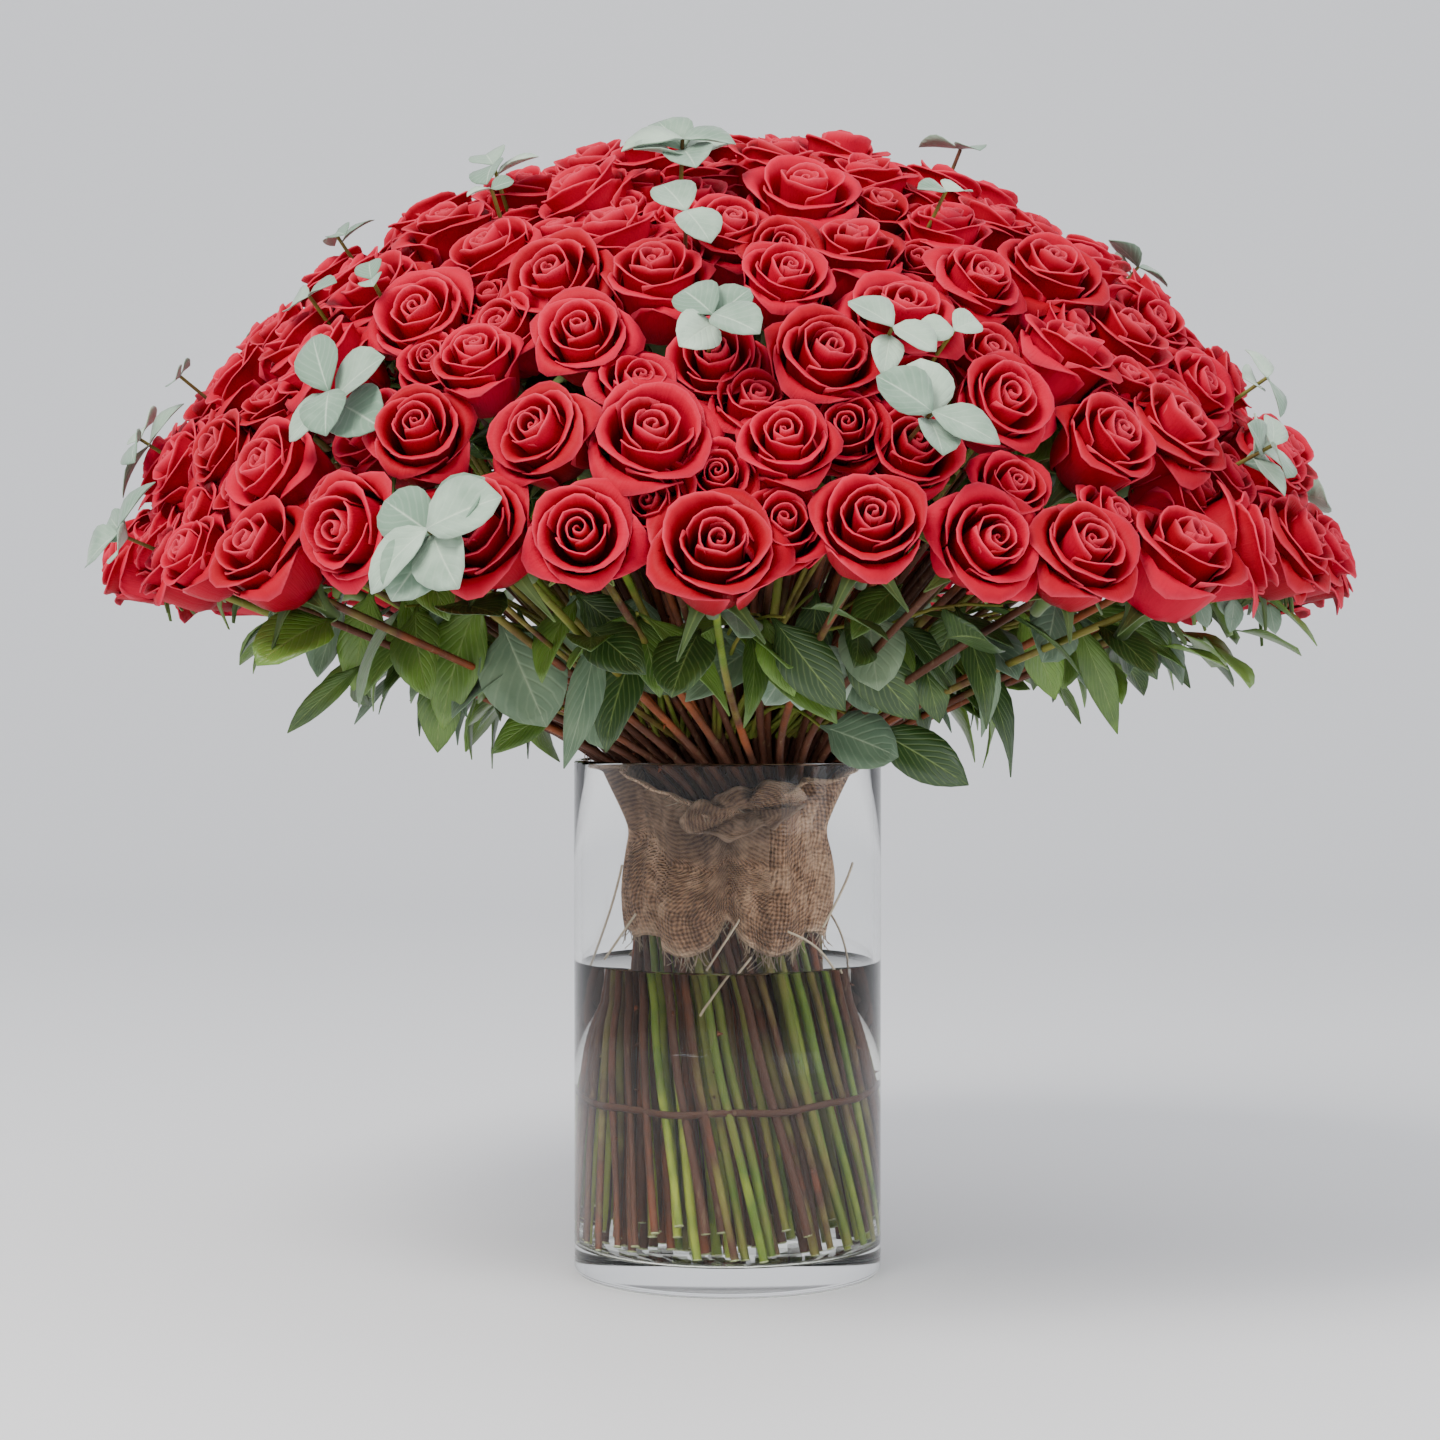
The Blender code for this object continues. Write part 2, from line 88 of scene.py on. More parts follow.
# adds nodes to a tree and joins them up
class NodeKit:
    def __init__(self, tree, shader=None):
        self.tree = tree
        self.shader = shader

    # settings go first, because they decide which sockets a node has
    def node(self, kind, settings=None, sockets=None):
        made = self.tree.nodes.new(kind)
        for name, value in (settings or {}).items():
            setattr(made, name, value)
        for key, value in (sockets or {}).items():
            self.plug(made.inputs[key], value)
        return made

    def add(self, kind, settings=None, sockets=None, out=0):
        return Signal(self, self.node(kind, settings, sockets).outputs[out])

    def plug(self, socket, value):
        if isinstance(value, Signal):
            self.tree.links.new(value.socket, socket)
        elif isinstance(value, bpy.types.NodeSocket):
            self.tree.links.new(value, socket)
        else:
            socket.default_value = value

    def dress(self, name, value):
        self.plug(self.shader.inputs[name], value)

    def mixColour(self, factor, low, high):
        ends = [(*c, 1) if isinstance(c, tuple) else c for c in (low, high)]
        return self.add("ShaderNodeMix", {"data_type": "RGBA"},
                        {0: factor, 6: ends[0], 7: ends[1]}, out=2)

    def ramp(self, factor, stops):
        made = self.node("ShaderNodeValToRGB", sockets={0: factor})
        while len(made.color_ramp.elements) < len(stops):
            made.color_ramp.elements.new(0.5)
        for element, (place, colour) in zip(made.color_ramp.elements, stops):
            element.position = place
            element.color = (*colour, 1)
        return Signal(self, made.outputs[0])

    def attribute(self, name):
        return self.add("ShaderNodeAttribute", {"attribute_name": name}, out=2)

    # a value stored on each point, for a geometry tree
    def stored(self, name, kind):
        return self.node("GeometryNodeInputNamedAttribute", {"data_type": kind},
                         {"Name": name}).outputs["Attribute"]

    def place(self, scale=(1, 1, 1)):
        coordinates = self.tree.nodes.new("ShaderNodeTexCoord").outputs["Object"]
        return self.add("ShaderNodeMapping", sockets={"Vector": coordinates, "Scale": scale})

    def noise(self, vector, scale, detail=3.0):
        return self.add("ShaderNodeTexNoise", sockets={
            "Vector": vector, "Scale": scale, "Detail": detail, "Roughness": 0.55})

    def bump(self, height, strength, distance):
        return self.add("ShaderNodeBump", sockets={
            "Height": height, "Strength": strength, "Distance": distance})


def newLook(name, fixed):
    material = bpy.data.materials.new(name)
    material.use_nodes = True
    kit = NodeKit(material.node_tree, material.node_tree.nodes["Principled BSDF"])
    for socket, value in fixed.items():
        kit.dress(socket, value)
    return material, kit


# painted shade darkens the flower's throat, and a painted highlight makes each petal's rim lighter
# and pinker
def petalLook():
    look = {"throatShade": (0.045, 0.0, 0.002), "body": (0.36, 0.0, 0.011), "lit": (0.54, 0.0, 0.030),
            "rim": (0.72, 0.050, 0.095), "rimFall": 3.5, "mottleScale": 95.0,
            "veinScale": 260.0, "relief": 0.0008}
    material, kit = newLook("rosePetal", {
        "Roughness": 0.55, "Specular IOR Level": 0.10})
    rise = kit.attribute("rise")
    rim = kit.attribute("rim")
    tone = kit.attribute("tone")
    shade = kit.attribute("shade")
    place = kit.place()
    mottle = kit.noise(place, look["mottleScale"], 3.0)
    # painted shade: darker towards the foot of each petal, and darkest on the inner petals of the
    # heart
    body = kit.mixColour((rise * 1.25).clamped(), look["throatShade"], look["body"])
    # lighter with each rose's and petal's own random tone and the mottling, and painted light
    # higher up each petal
    bright = ((tone - 0.5) * 0.9 + (shade - 0.5) * 1.0 + mottle * 0.6 + rise * 0.22).clamped()
    lit = kit.mixColour(bright, body, look["lit"])
    # painted highlight along each petal's lip and upper sides
    edge = (rim ** look["rimFall"] * (0.35 + mottle * 0.7)).clamped()
    kit.dress("Base Color", kit.mixColour(edge, lit, look["rim"]))
    # fine veins run up the petal
    veins = kit.noise(kit.add("ShaderNodeCombineXYZ", sockets={
        0: kit.attribute("across") * 26.0, 1: rise * 2.5, 2: shade * 40.0}), 1.0, 3.0)
    height = veins * 0.7 + kit.noise(place, look["veinScale"], 2.0) * 0.3
    kit.dress("Normal", kit.bump(height, 0.5, look["relief"]))
    kit.dress("Roughness", 0.48 + mottle * 0.16)
    return material


def leafLook(name, look):
    material, kit = newLook(name, {
        "Specular IOR Level": 0.4, "Coat Weight": look["coat"], "Coat Roughness": 0.3,
        "Sheen Weight": look["bloom"], "Sheen Roughness": 0.5})
    across = kit.attribute("across")
    rise = kit.attribute("rise")
    tone = kit.attribute("tone")
    place = kit.place()
    patches = kit.noise(place, 55.0, 4.0)
    away = kit.add("ShaderNodeMath", {"operation": "ABSOLUTE"}, {0: across})
    # side veins leave the rib at a slant, so their phase mixes both directions
    slant = rise * look["veins"] - away * (look["veins"] * 0.45)
    ribs = ((slant * 6.283).sine() * 0.5 + 0.5) ** 6.0
    midrib = (1.0 - away * look["ribWidth"]).clamped() ** 2.0
    blend = (patches * 1.3 - 0.35 + (tone - 0.5) * 1.1).clamped()
    ground = kit.mixColour(blend, look["dark"], look["light"])
    veined = kit.mixColour((midrib * 0.75 + ribs * look["veinShow"]).clamped(), ground,
                           look["rib"])
    kit.dress("Base Color", veined)
    kit.dress("Roughness", patches * 0.15 + look["rough"])
    grain = kit.noise(place, 420.0, 2.0)
    height = grain * 0.25 - ribs * 0.55 - midrib * 0.9
    kit.dress("Normal", kit.bump(height, look["relief"], 0.0008))
    return material


# brown, red, olive or green by the stem's own tone, with pale streaks
def stemLook():
    brown = (0.085, 0.030, 0.016)
    look = {"red": (0.24, 0.060, 0.018), "olive": (0.19, 0.17, 0.032),
            "green": (0.098, 0.168, 0.016), "lime": (0.30, 0.35, 0.035),
            "pale": (0.30, 0.22, 0.12), "streakScale": 420.0, "patchScale": 32.0}
    stops = [(0.0, brown), (0.30, brown), (0.46, look["red"]), (0.58, brown),
             (0.70, look["olive"]), (0.84, look["green"]), (0.97, look["lime"])]
    material, kit = newLook("stemSkin", {"Specular IOR Level": 0.22})
    tone = kit.attribute("tone")
    streaks = kit.noise(kit.place(scale=(1.0, 1.0, 0.16)), look["streakScale"], 4.0)
    patches = kit.noise(kit.place(), look["patchScale"], 3.0)
    colour = kit.ramp((tone + (patches - 0.5) * 0.55).clamped(), stops)
    flecks = ((streaks - 0.60) * 6.0).clamped()
    kit.dress("Base Color", kit.mixColour(flecks * 0.5, colour, look["pale"]))
    kit.dress("Roughness", 0.38 + streaks * 0.3)
    kit.dress("Normal", kit.bump(streaks, 0.5, 0.0006))
    return material


# threads over and under each other, with worn pale places and a pale hem
def burlapLook():
    look = {"dark": (0.120, 0.054, 0.027), "light": (0.60, 0.335, 0.185),
            "loose": (0.80, 0.54, 0.36), "threads": 470.0, "relief": 0.0016}
    material, kit = newLook("burlapWeave", {
        "Roughness": 0.9, "Sheen Weight": 0.08, "Sheen Roughness": 0.6,
        "Specular IOR Level": 0.08})
    wobble = kit.noise(kit.place(), 130.0, 2.0) * 1.6
    warpWave = ((kit.attribute("warp") * look["threads"] + wobble) * math.pi).sine()
    weftWave = ((kit.attribute("weft") * look["threads"] + wobble) * math.pi).sine()
    threads = (warpWave * warpWave + weftWave * weftWave) * 0.5
    over = (warpWave * weftWave) * 0.5 + 0.5
    slubs = kit.noise(kit.place(), 240.0, 4.0)
    worn = kit.noise(kit.place(), 46.0, 4.0)
    share = (threads * 0.75 + (slubs - 0.5) * 1.1 + (worn - 0.5) * 1.3 + 0.02).clamped()
    hem = kit.attribute("hem")
    pale = ((worn - 0.50) * 3.4 + (slubs - 0.5) * 1.4 + hem * 1.1).clamped()
    ground = kit.mixColour(share, look["dark"], look["light"])
    kit.dress("Base Color", kit.mixColour(pale * 0.65, ground, look["loose"]))
    height = threads * 0.8 + over * 0.35 + slubs * 0.4
    kit.dress("Normal", kit.bump(height, 1.0, look["relief"]))
    return material


def strawLook():
    look = {"pale": (0.62, 0.50, 0.35), "brown": (0.26, 0.15, 0.085)}
    material, kit = newLook("strawThread", {
        "Roughness": 0.75, "Specular IOR Level": 0.2})
    specks = kit.noise(kit.place(), 210.0, 3.0)
    share = ((specks - 0.5) * 1.8 + kit.attribute("tone")).clamped()
    kit.dress("Base Color", kit.mixColour(share, look["brown"], look["pale"]))
    kit.dress("Normal", kit.bump(specks, 0.4, 0.0004))
    return material


# lamps shine through, tinted, so that what stands behind the glass is lit
def clearLook(name, tint, ior, gloss, lampTint):
    material, kit = newLook(name, {
        "Base Color": (*tint, 1), "Roughness": 0.0, "IOR": ior, "Transmission Weight": 1.0,
        "Specular Tint": (gloss, gloss, gloss, 1)})
    clear = kit.node("ShaderNodeBsdfTransparent", sockets={"Color": (*lampTint, 1)})
    shadow = kit.tree.nodes.new("ShaderNodeLightPath").outputs["Is Shadow Ray"]
    mixed = kit.node("ShaderNodeMixShader", sockets={
        0: shadow, 1: kit.shader.outputs["BSDF"], 2: clear.outputs["BSDF"]})
    surface = kit.tree.nodes["Material Output"].inputs["Surface"]
    kit.plug(surface, mixed.outputs[0])
    return material


# a mesh with named values on its points
def meshFrom(name, points, faces, values=None, edges=()):
    kinds = {"turn": ("FLOAT_VECTOR", "vector"), "pick": ("INT", "value")}
    mesh = bpy.data.meshes.new(name)
    mesh.from_pydata([tuple(p) for p in points], list(edges), faces)
    for label, numbers in (values or {}).items():
        kind, field = kinds.get(label, ("FLOAT", "value"))
        layer = mesh.attributes.new(label, kind, "POINT")
        numbers = np.asarray(numbers, dtype=np.int32 if kind == "INT" else np.float32)
        layer.data.foreach_set(field, numbers.ravel())
    mesh.update()
    return mesh


# the same, as a closed surface with its faces turned outward and smooth
def closedMesh(name, points, faces, values=None):
    mesh = meshFrom(name, points, faces, values)
    shape = bmesh.new()
    shape.from_mesh(mesh)
    bmesh.ops.recalc_face_normals(shape, faces=shape.faces)
    shape.to_mesh(mesh)
    shape.free()
    mesh.shade_smooth()
    return mesh


def addPiece(name, mesh, look=None):
    piece = bpy.data.objects.new(name, mesh)
    bpy.context.scene.collection.objects.link(piece)
    if look:
        mesh.materials.append(look)
    mesh.shade_smooth()
    return piece


# corners of a regular ring of radius 1
def ringOf(sides):
    return [(math.cos(wholeTurn * k / sides), math.sin(wholeTurn * k / sides))
            for k in range(sides)]


# faces between rings of points that lie one after the other in a list
def facesBetween(rings, sides):
    return [(r * sides + c, r * sides + (c + 1) % sides,
             (r + 1) * sides + (c + 1) % sides, (r + 1) * sides + c)
            for r in range(rings - 1) for c in range(sides)]


# a thin closed shell from a grid of points: front, back and rim
def shellFromGrid(grid, thickness, values):
    rows, columns, _ = grid.shape
    normal = np.cross(np.gradient(grid, axis=1), np.gradient(grid, axis=0))
    normal /= np.maximum(np.linalg.norm(normal, axis=2, keepdims=True), 1e-9)
    face = grid + normal * thickness / 2
    back = grid - normal * thickness / 2
    points = np.concatenate([face.reshape(-1, 3), back.reshape(-1, 3)])
    count = rows * columns
    faces = []
    for r in range(rows - 1):
        for c in range(columns - 1):
            a = r * columns + c
            b, d, e = a + 1, a + columns, a + columns + 1
            faces.append((a, b, e, d))
            faces.append((count + a, count + d, count + e, count + b))
    edge = (list(range(columns - 1))
            + [r * columns + columns - 1 for r in range(rows - 1)]
            + [(rows - 1) * columns + c for c in range(columns - 1, 0, -1)]
            + [r * columns for r in range(rows - 1, 0, -1)])
    for i, a in enumerate(edge):
        b = edge[(i + 1) % len(edge)]
        faces.append((b, a, count + a, count + b))
    doubled = {label: np.concatenate([v.ravel(), v.ravel()]) for label, v in values.items()}
    return points, faces, doubled


# gathers small shapes into one mesh with their values
class Pile:
    def __init__(self):
        self.points, self.faces, self.values, self.count = [], [], {}, 0

    def put(self, points, faces, values):
        self.points.append(points)
        self.faces += [tuple(i + self.count for i in face) for face in faces]
        for label, numbers in values.items():
            self.values.setdefault(label, []).append(numbers)
        self.count += len(points)

    def mesh(self, name):
        values = {label: np.concatenate(v) for label, v in self.values.items()}
        return closedMesh(name, np.concatenate(self.points), self.faces, values)


# smooth curve through a few points, read at shares 0..1
def through(points, shares):
    points = np.asarray(points, dtype=float)
    padded = np.concatenate([[2 * points[0] - points[1]], points,
                             [2 * points[-1] - points[-2]]])
    spans = len(points) - 1
    place = np.clip(np.asarray(shares), 0, 1) * spans
    first = np.minimum(place.astype(int), spans - 1)
    t = (place - first)[..., None]
    p0, p1, p2, p3 = (padded[first + k] for k in range(4))
    return 0.5 * (2 * p1 + (p2 - p0) * t + (2 * p0 - 5 * p1 + 4 * p2 - p3) * t ** 2
                  + (3 * p1 - p0 - 3 * p2 + p3) * t ** 3)


def unit(vector):
    return vector / np.linalg.norm(vector)


# a geometry tree with named inputs, which ends in real geometry with its finish
def newTree(name, inputs):
    tree = bpy.data.node_groups.new(name, "GeometryNodeTree")
    for label, kind in (("Geometry", "Geometry"), *inputs, ("Finish", "Material")):
        tree.interface.new_socket(name=label, in_out="INPUT", socket_type="NodeSocket" + kind)
    tree.interface.new_socket(name="Geometry", in_out="OUTPUT",
                              socket_type="NodeSocketGeometry")
    return NodeKit(tree), tree.nodes.new("NodeGroupInput").outputs


def endTree(kit, geometry, finish):
    real = kit.node("GeometryNodeRealizeInstances", sockets={"Geometry": geometry})
    done = kit.node("GeometryNodeSetMaterial", sockets={
        "Geometry": real.outputs[0], "Material": finish})
    kit.node("NodeGroupOutput", sockets={0: done.outputs[0]})
    return kit.tree


# copies of the shapes in a collection, one on each point, chosen by the point's own values
def scatterTree():
    kit, given = newTree("scatterShapes", [("Shapes", "Collection")])
    shapes = kit.node("GeometryNodeCollectionInfo",
                      sockets={"Collection": given["Shapes"], 1: True, 2: True})
    turn = kit.node("FunctionNodeEulerToRotation",
                    sockets={0: kit.stored("turn", "FLOAT_VECTOR")})
    size = kit.stored("size", "FLOAT")
    copies = kit.node("GeometryNodeInstanceOnPoints", sockets={
        "Points": given["Geometry"], "Instance": shapes.outputs[0], "Pick Instance": True,
        "Instance Index": kit.stored("pick", "INT"), "Rotation": turn.outputs[0],
        "Scale": kit.add("ShaderNodeCombineXYZ", sockets={0: size, 1: size, 2: size})})
    return endTree(kit, copies.outputs[0], given["Finish"])


# round tubes along the edges of a mesh, as thick as each point says
def tubeTree():
    kit, given = newTree("tubesAlongPaths", [("Sides", "Int")])
    circle = kit.node("GeometryNodeCurvePrimitiveCircle", {"mode": "RADIUS"},
                      {"Resolution": given["Sides"], "Radius": 1.0})
    line = kit.node("GeometryNodeMeshToCurve", sockets={"Mesh": given["Geometry"]})
    tube = kit.node("GeometryNodeCurveToMesh", sockets={
        "Curve": line.outputs[0], "Profile Curve": circle.outputs[0], "Fill Caps": True,
        "Scale": kit.stored("thick", "FLOAT")})
    smooth = kit.node("GeometryNodeSetShadeSmooth", sockets={"Geometry": tube.outputs[0]})
    return endTree(kit, smooth.outputs[0], given["Finish"])


# runs a tree on a carrier mesh and keeps the result as a plain piece
def grow(name, carrierMesh, tree, inputs):
    carrier = bpy.data.objects.new(name, carrierMesh)
    bpy.context.scene.collection.objects.link(carrier)
    maker = carrier.modifiers.new("maker", "NODES")
    maker.node_group = tree
    for item in tree.interface.items_tree:
        if item.in_out == "INPUT" and item.name in inputs:
            maker[item.identifier] = inputs[item.name]
    graph = bpy.context.evaluated_depsgraph_get()
    mesh = bpy.data.meshes.new_from_object(carrier.evaluated_get(graph), depsgraph=graph)
    mesh.name = name
    bpy.data.objects.remove(carrier, do_unlink=True)
    return addPiece(name, mesh)


def scatterOn(name, items, shapes, finish):
    values = {label: [item[label] for item in items] for label in ("turn", "size", "pick", "tone")}
    carrier = meshFrom(name, [item["base"] for item in items], [], values)
    return grow(name, carrier, scatter, {"Shapes": shapes, "Finish": finish})


# a tone may be one number for a whole path or one for each of its points
def growTubes(name, paths, thicknesses, tones, sides, finish):
    points, edges = [], []
    for path in paths:
        start = len(points)
        points += list(path)
        edges += [(start + i, start + i + 1) for i in range(len(path) - 1)]
    shade = [np.full(len(path), 1.0) * tone for path, tone in zip(paths, tones)]
    carrier = meshFrom(name, points, [], {
        "thick": np.concatenate(thicknesses), "tone": np.concatenate(shade)}, edges)
    return grow(name, carrier, tubes, {"Sides": sides, "Finish": finish})


def shapeCollection(name, meshes):
    collection = bpy.data.collections.new(name)
    for i, mesh in enumerate(meshes):
        collection.objects.link(bpy.data.objects.new(f"{name}_{i:02}", mesh))
    return collection


scatter = scatterTree()
tubes = tubeTree()


# eucalyptus between the roses: polar angle and azimuth in degrees, leaves, and their size;
# the first eight stand in for the frame's own sprigs
sprigsShown = [
    (28, 1, 6, 1.15), (49, -2, 4, 1.05), (57, -32, 5, 1.25), (64, -60, 4, 1.05),
    (61, 17, 4, 1.1), (58, 58, 7, 0.9), (48, 128, 5, 1.0), (52, -140, 5, 1.0),
    (39, -5, 2, 1.0), (69, -23, 6, 1.35), (59, -77, 4, 1.1), (27, -46, 3, 0.85),
    (46, -52, 2, 0.8), (45, -42, 2, 0.6), (52, 15, 3, 0.9), (52, 21, 2, 0.8),
    (22, 62, 2, 0.9), (35, 30, 2, 0.7), (54, 66, 3, 0.8), (36, -72, 3, 0.7),
    (53, -76, 2, 0.6), (33, -36, 2, 0.5), (30, 160, 4, 1.0), (40, -165, 3, 0.9),
    (60, 165, 4, 1.1), (62, -110, 4, 1.1), (38, 95, 3, 0.9), (63, 100, 4, 1.0),
    (66, -165, 5, 1.1), (45, -100, 3, 0.8), (20, -150, 3, 0.8), (64, 140, 3, 0.9)]

# the dome of roses: part of a ball, with the bunches in rings under it; the frame's sprigs
# stand where a rose would
vaseHigh = Vector(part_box("glass_vase")[1])
bouquet = {
    "radius": 0.300, "polar": math.radians(68), "centreBelowRim": 0.018,
    "headRadius": 0.0195, "headGap": 0.0008, "crowding": 1.27,
    "innerBunches": 6, "outerBunches": 12,
    "innerPolar": math.radians(27.5), "outerPolar": math.radians(55),
    "swirl": math.radians(-38), "rounds": 200, "pushReach": 1.25, "pushShare": 0.25,
    "sprigs": 8,
}
domeCentre = np.array([0.0, 0.0, vaseHigh.z - bouquet["centreBelowRim"]])


def direction(polar, azimuth):
    flat = math.sin(polar)
    return np.array([flat * math.cos(azimuth), flat * math.sin(azimuth), math.cos(polar)])


def ballPoints(flat, turn, height):
    return np.stack([flat * np.cos(turn), flat * np.sin(turn), height], 1)


# points on the dome that push each other apart
def spreadPlaces():
    pitch = 2 * bouquet["headRadius"] + bouquet["headGap"]
    cap = 1 - math.cos(bouquet["polar"])
    area = wholeTurn * cap * bouquet["radius"] ** 2
    count = round(area / (bouquet["crowding"] * pitch ** 2))
    number = np.arange(count) + 0.5
    height = 1 - number / count * cap
    turn = number * math.pi * (3 - math.sqrt(5))
    places = ballPoints(np.sqrt(1 - height ** 2), turn, height)
    spacing = math.sqrt(wholeTurn * cap / count)
    for _ in range(bouquet["rounds"]):
        apart = places[:, None] - places[None]
        length = np.linalg.norm(apart, axis=2) + np.eye(count) * 9
        push = np.clip(1 - length / (bouquet["pushReach"] * spacing), 0, 1) / length
        places += (apart * push[..., None]).sum(1) * spacing * bouquet["pushShare"]
        places /= np.linalg.norm(places, axis=1)[:, None]
        polar = np.minimum(np.arccos(np.clip(places[:, 2], -1, 1)), bouquet["polar"])
        turn = np.arctan2(places[:, 1], places[:, 0])
        places = ballPoints(np.sin(polar), turn, np.cos(polar))
    return places


def bunchDirections():
    found = [direction(0, 0)]
    for polar, count, shift in ((bouquet["innerPolar"], bouquet["innerBunches"], 0.0),
                                (bouquet["outerPolar"], bouquet["outerBunches"], 0.5)):
        for i in range(count):
            turn = front + wholeTurn * (i + shift) / count + bouquet["swirl"]
            found.append(direction(polar, turn))
    return np.array(found)


def nearestBunch(line):
    return int(np.argmax(bunches @ line))


allPlaces = spreadPlaces()
bunches = bunchDirections()
slots = []
for polar, azimuth, _, _ in sprigsShown[:bouquet["sprigs"]]:
    wanted = direction(math.radians(polar), front + math.radians(azimuth))
    order = np.argsort(-(allPlaces @ wanted))
    slots.append(next(i for i in order if i not in slots))
rosePlaces = [i for i in range(len(allPlaces)) if i not in slots]
membersOf = [[i for i in rosePlaces if nearestBunch(allPlaces[i]) == number]
             for number in range(len(bunches))]
print("places:", len(rosePlaces), "roses in", len(bunches), "bunches")


# crown is how far the top of a flower stands from the dome's centre; pairs are limits
rose = {"length": 0.040, "thickness": 0.0006, "kinds": 8, "crown": 0.3215,
        "opening": (0.62, 0.52), "depth": (-0.007, 0.002), "size": (0.90, 1.16), "tilt": 0.14,
        "jitter": 0.012}
filler = {"count": 135, "depth": (-0.017, -0.010), "size": (0.80, 0.96), "tilt": 0.16,
          "offered": 6000}
# petals from the heart outward: radius in mm, half angle it wraps, how far its lip leans out
# and drops in mm, how pointed it is, and its height as a share of the flower's
petals = [
    (2.2, 2.60, -0.7, 0.0, 0.02, 0.96), (3.4, 2.40, -0.9, 0.0, 0.02, 0.98),
    (4.6, 2.10, -1.0, -0.3, 0.03, 0.99), (5.8, 1.90, -0.9, -0.3, 0.05, 1.00),
    (7.0, 1.75, -0.5, -0.2, 0.07, 1.01), (8.2, 1.65, 0.0, 0.0, 0.09, 1.01),
    (9.5, 1.55, 1.2, 0.3, 0.12, 1.02), (11.0, 1.50, 2.6, 0.8, 0.15, 1.01),
    (12.6, 1.45, 4.2, 1.6, 0.18, 1.00), (14.0, 1.40, 5.8, 2.6, 0.20, 0.98),
    (15.2, 1.34, 7.2, 3.8, 0.24, 0.96), (16.2, 1.28, 8.4, 5.2, 0.27, 0.93),
    (17.0, 1.22, 9.4, 6.8, 0.30, 0.90), (17.7, 1.16, 10.0, 8.6, 0.33, 0.86),
    (18.2, 1.10, 10.4, 10.6, 0.36, 0.80)]


# one petal: a sheet bent along its profile and wrapped round the flower's axis
def petalGrid(dice, t, petal, turn, rows, columns, opening):
    radius, wrapAngle, flare, drop, point, tall = petal
    spread = 1 + (opening - 1) * t
    radius = radius * 0.001 * dice.uniform(0.96, 1.04) * (0.82 + 0.18 * opening)
    flare = flare * 0.001 * spread * dice.uniform(0.8, 1.2)
    drop = drop * 0.001 * spread * dice.uniform(0.7, 1.25)
    height = rose["length"] * tall * dice.uniform(0.955, 1.025)
    across = np.linspace(-1, 1, columns)
    along = np.linspace(0, 1, rows) ** 0.8
    profile = [(0.0015, 0.001), (0.82 * radius, 0.20 * height), (radius * 1.02, 0.52 * height),
               (radius + 0.30 * flare, 0.86 * height), (radius + flare, height - drop)]
    lean = dice.uniform(-0.07, 0.07)
    skew = dice.uniform(-0.10, 0.10)
    phase = dice.uniform(0, anyTurn)
    ripple = dice.uniform(0.4, 1.2) * 0.0013 * t
    grid = np.zeros((rows, columns, 3))
    for c, u in enumerate(across):
        side = abs(u)
        shares = along * (1 - point * side ** (1.25 + 1.3 * (1 - t)))
        line = through(profile, shares)
        width = np.sin(np.pi * (0.10 + 0.60 * shares)) ** 0.8
        angle = turn + u * wrapAngle * width + (lean + skew * u) * shares
        # the sides roll back, the middle of the lip is drawn out to a point
        roll = 0.0066 * t ** 0.85 * side ** 2.4 * shares ** 3
        tip = 0.0018 * t ** 0.7 * math.exp(-(u / 0.18) ** 2) * shares ** 6
        reach = line[:, 0] + 0.0010 * u * shares * (1.1 - t) + 0.35 * roll + tip
        rise = line[:, 1] - roll - tip * 0.6 + ripple * np.sin(3.4 * u + phase) * shares ** 2
        grid[:, c] = np.stack([reach * np.cos(angle), reach * np.sin(angle), rise], 1)
    return grid, along, across


def makeRose(seed):
    dice = random.Random(seed)
    least, more = rose["opening"]
    opening = least + more * ((seed * 0.377) % 1.0)
    pile = Pile()
    turn = dice.uniform(0, anyTurn)
    # the heart sits a little off the axis, and leans
    shift = np.array([dice.uniform(-0.0016, 0.0016), dice.uniform(-0.0016, 0.0016), 0.0])
    for k, petal in enumerate(petals):
        t = k / (len(petals) - 1)
        turn += math.radians(137.5) + dice.uniform(-0.38, 0.38)
        rows, columns = (4, 12) if k < 4 else (5, 9) if k < 7 else (7, 10)
        grid, along, across = petalGrid(dice, t, petal, turn, rows, columns, opening)
        grid = grid + shift * (1 - t) * along[:, None, None]
        lift, wide = np.meshgrid(along, across, indexing="ij")
        # lip and sides mark where the painted highlight goes on each petal's rim
        lip = np.clip((lift - 0.88) / 0.12, 0, 1)
        sides = np.clip((np.abs(wide) - 0.80) / 0.20, 0, 1) * np.clip(lift * 1.6 - 0.4, 0, 1)
        # rise grows up each petal and is lower on the inner ones; it sets the painted shade in the
        # throat and the painted light higher up
        values = {"rise": lift * (0.62 + 0.38 * t), "rim": np.maximum(lip, sides),
                  "across": wide, "shade": np.full(lift.shape, dice.random())}
        pile.put(*shellFromGrid(grid, rose["thickness"], values))
    return pile.mesh(f"roseKind_{seed}")


# the green cup under the petals, with five narrow sepals bent back
calyx = {"kinds": 3, "sides": 9, "sepals": 5, "sepalWidth": 0.0042, "thickness": 0.0006,
         "profile": [(0.0026, -0.016), (0.0034, -0.006), (0.0062, -0.001), (0.0064, 0.004),
                     (0.0030, 0.008)]}


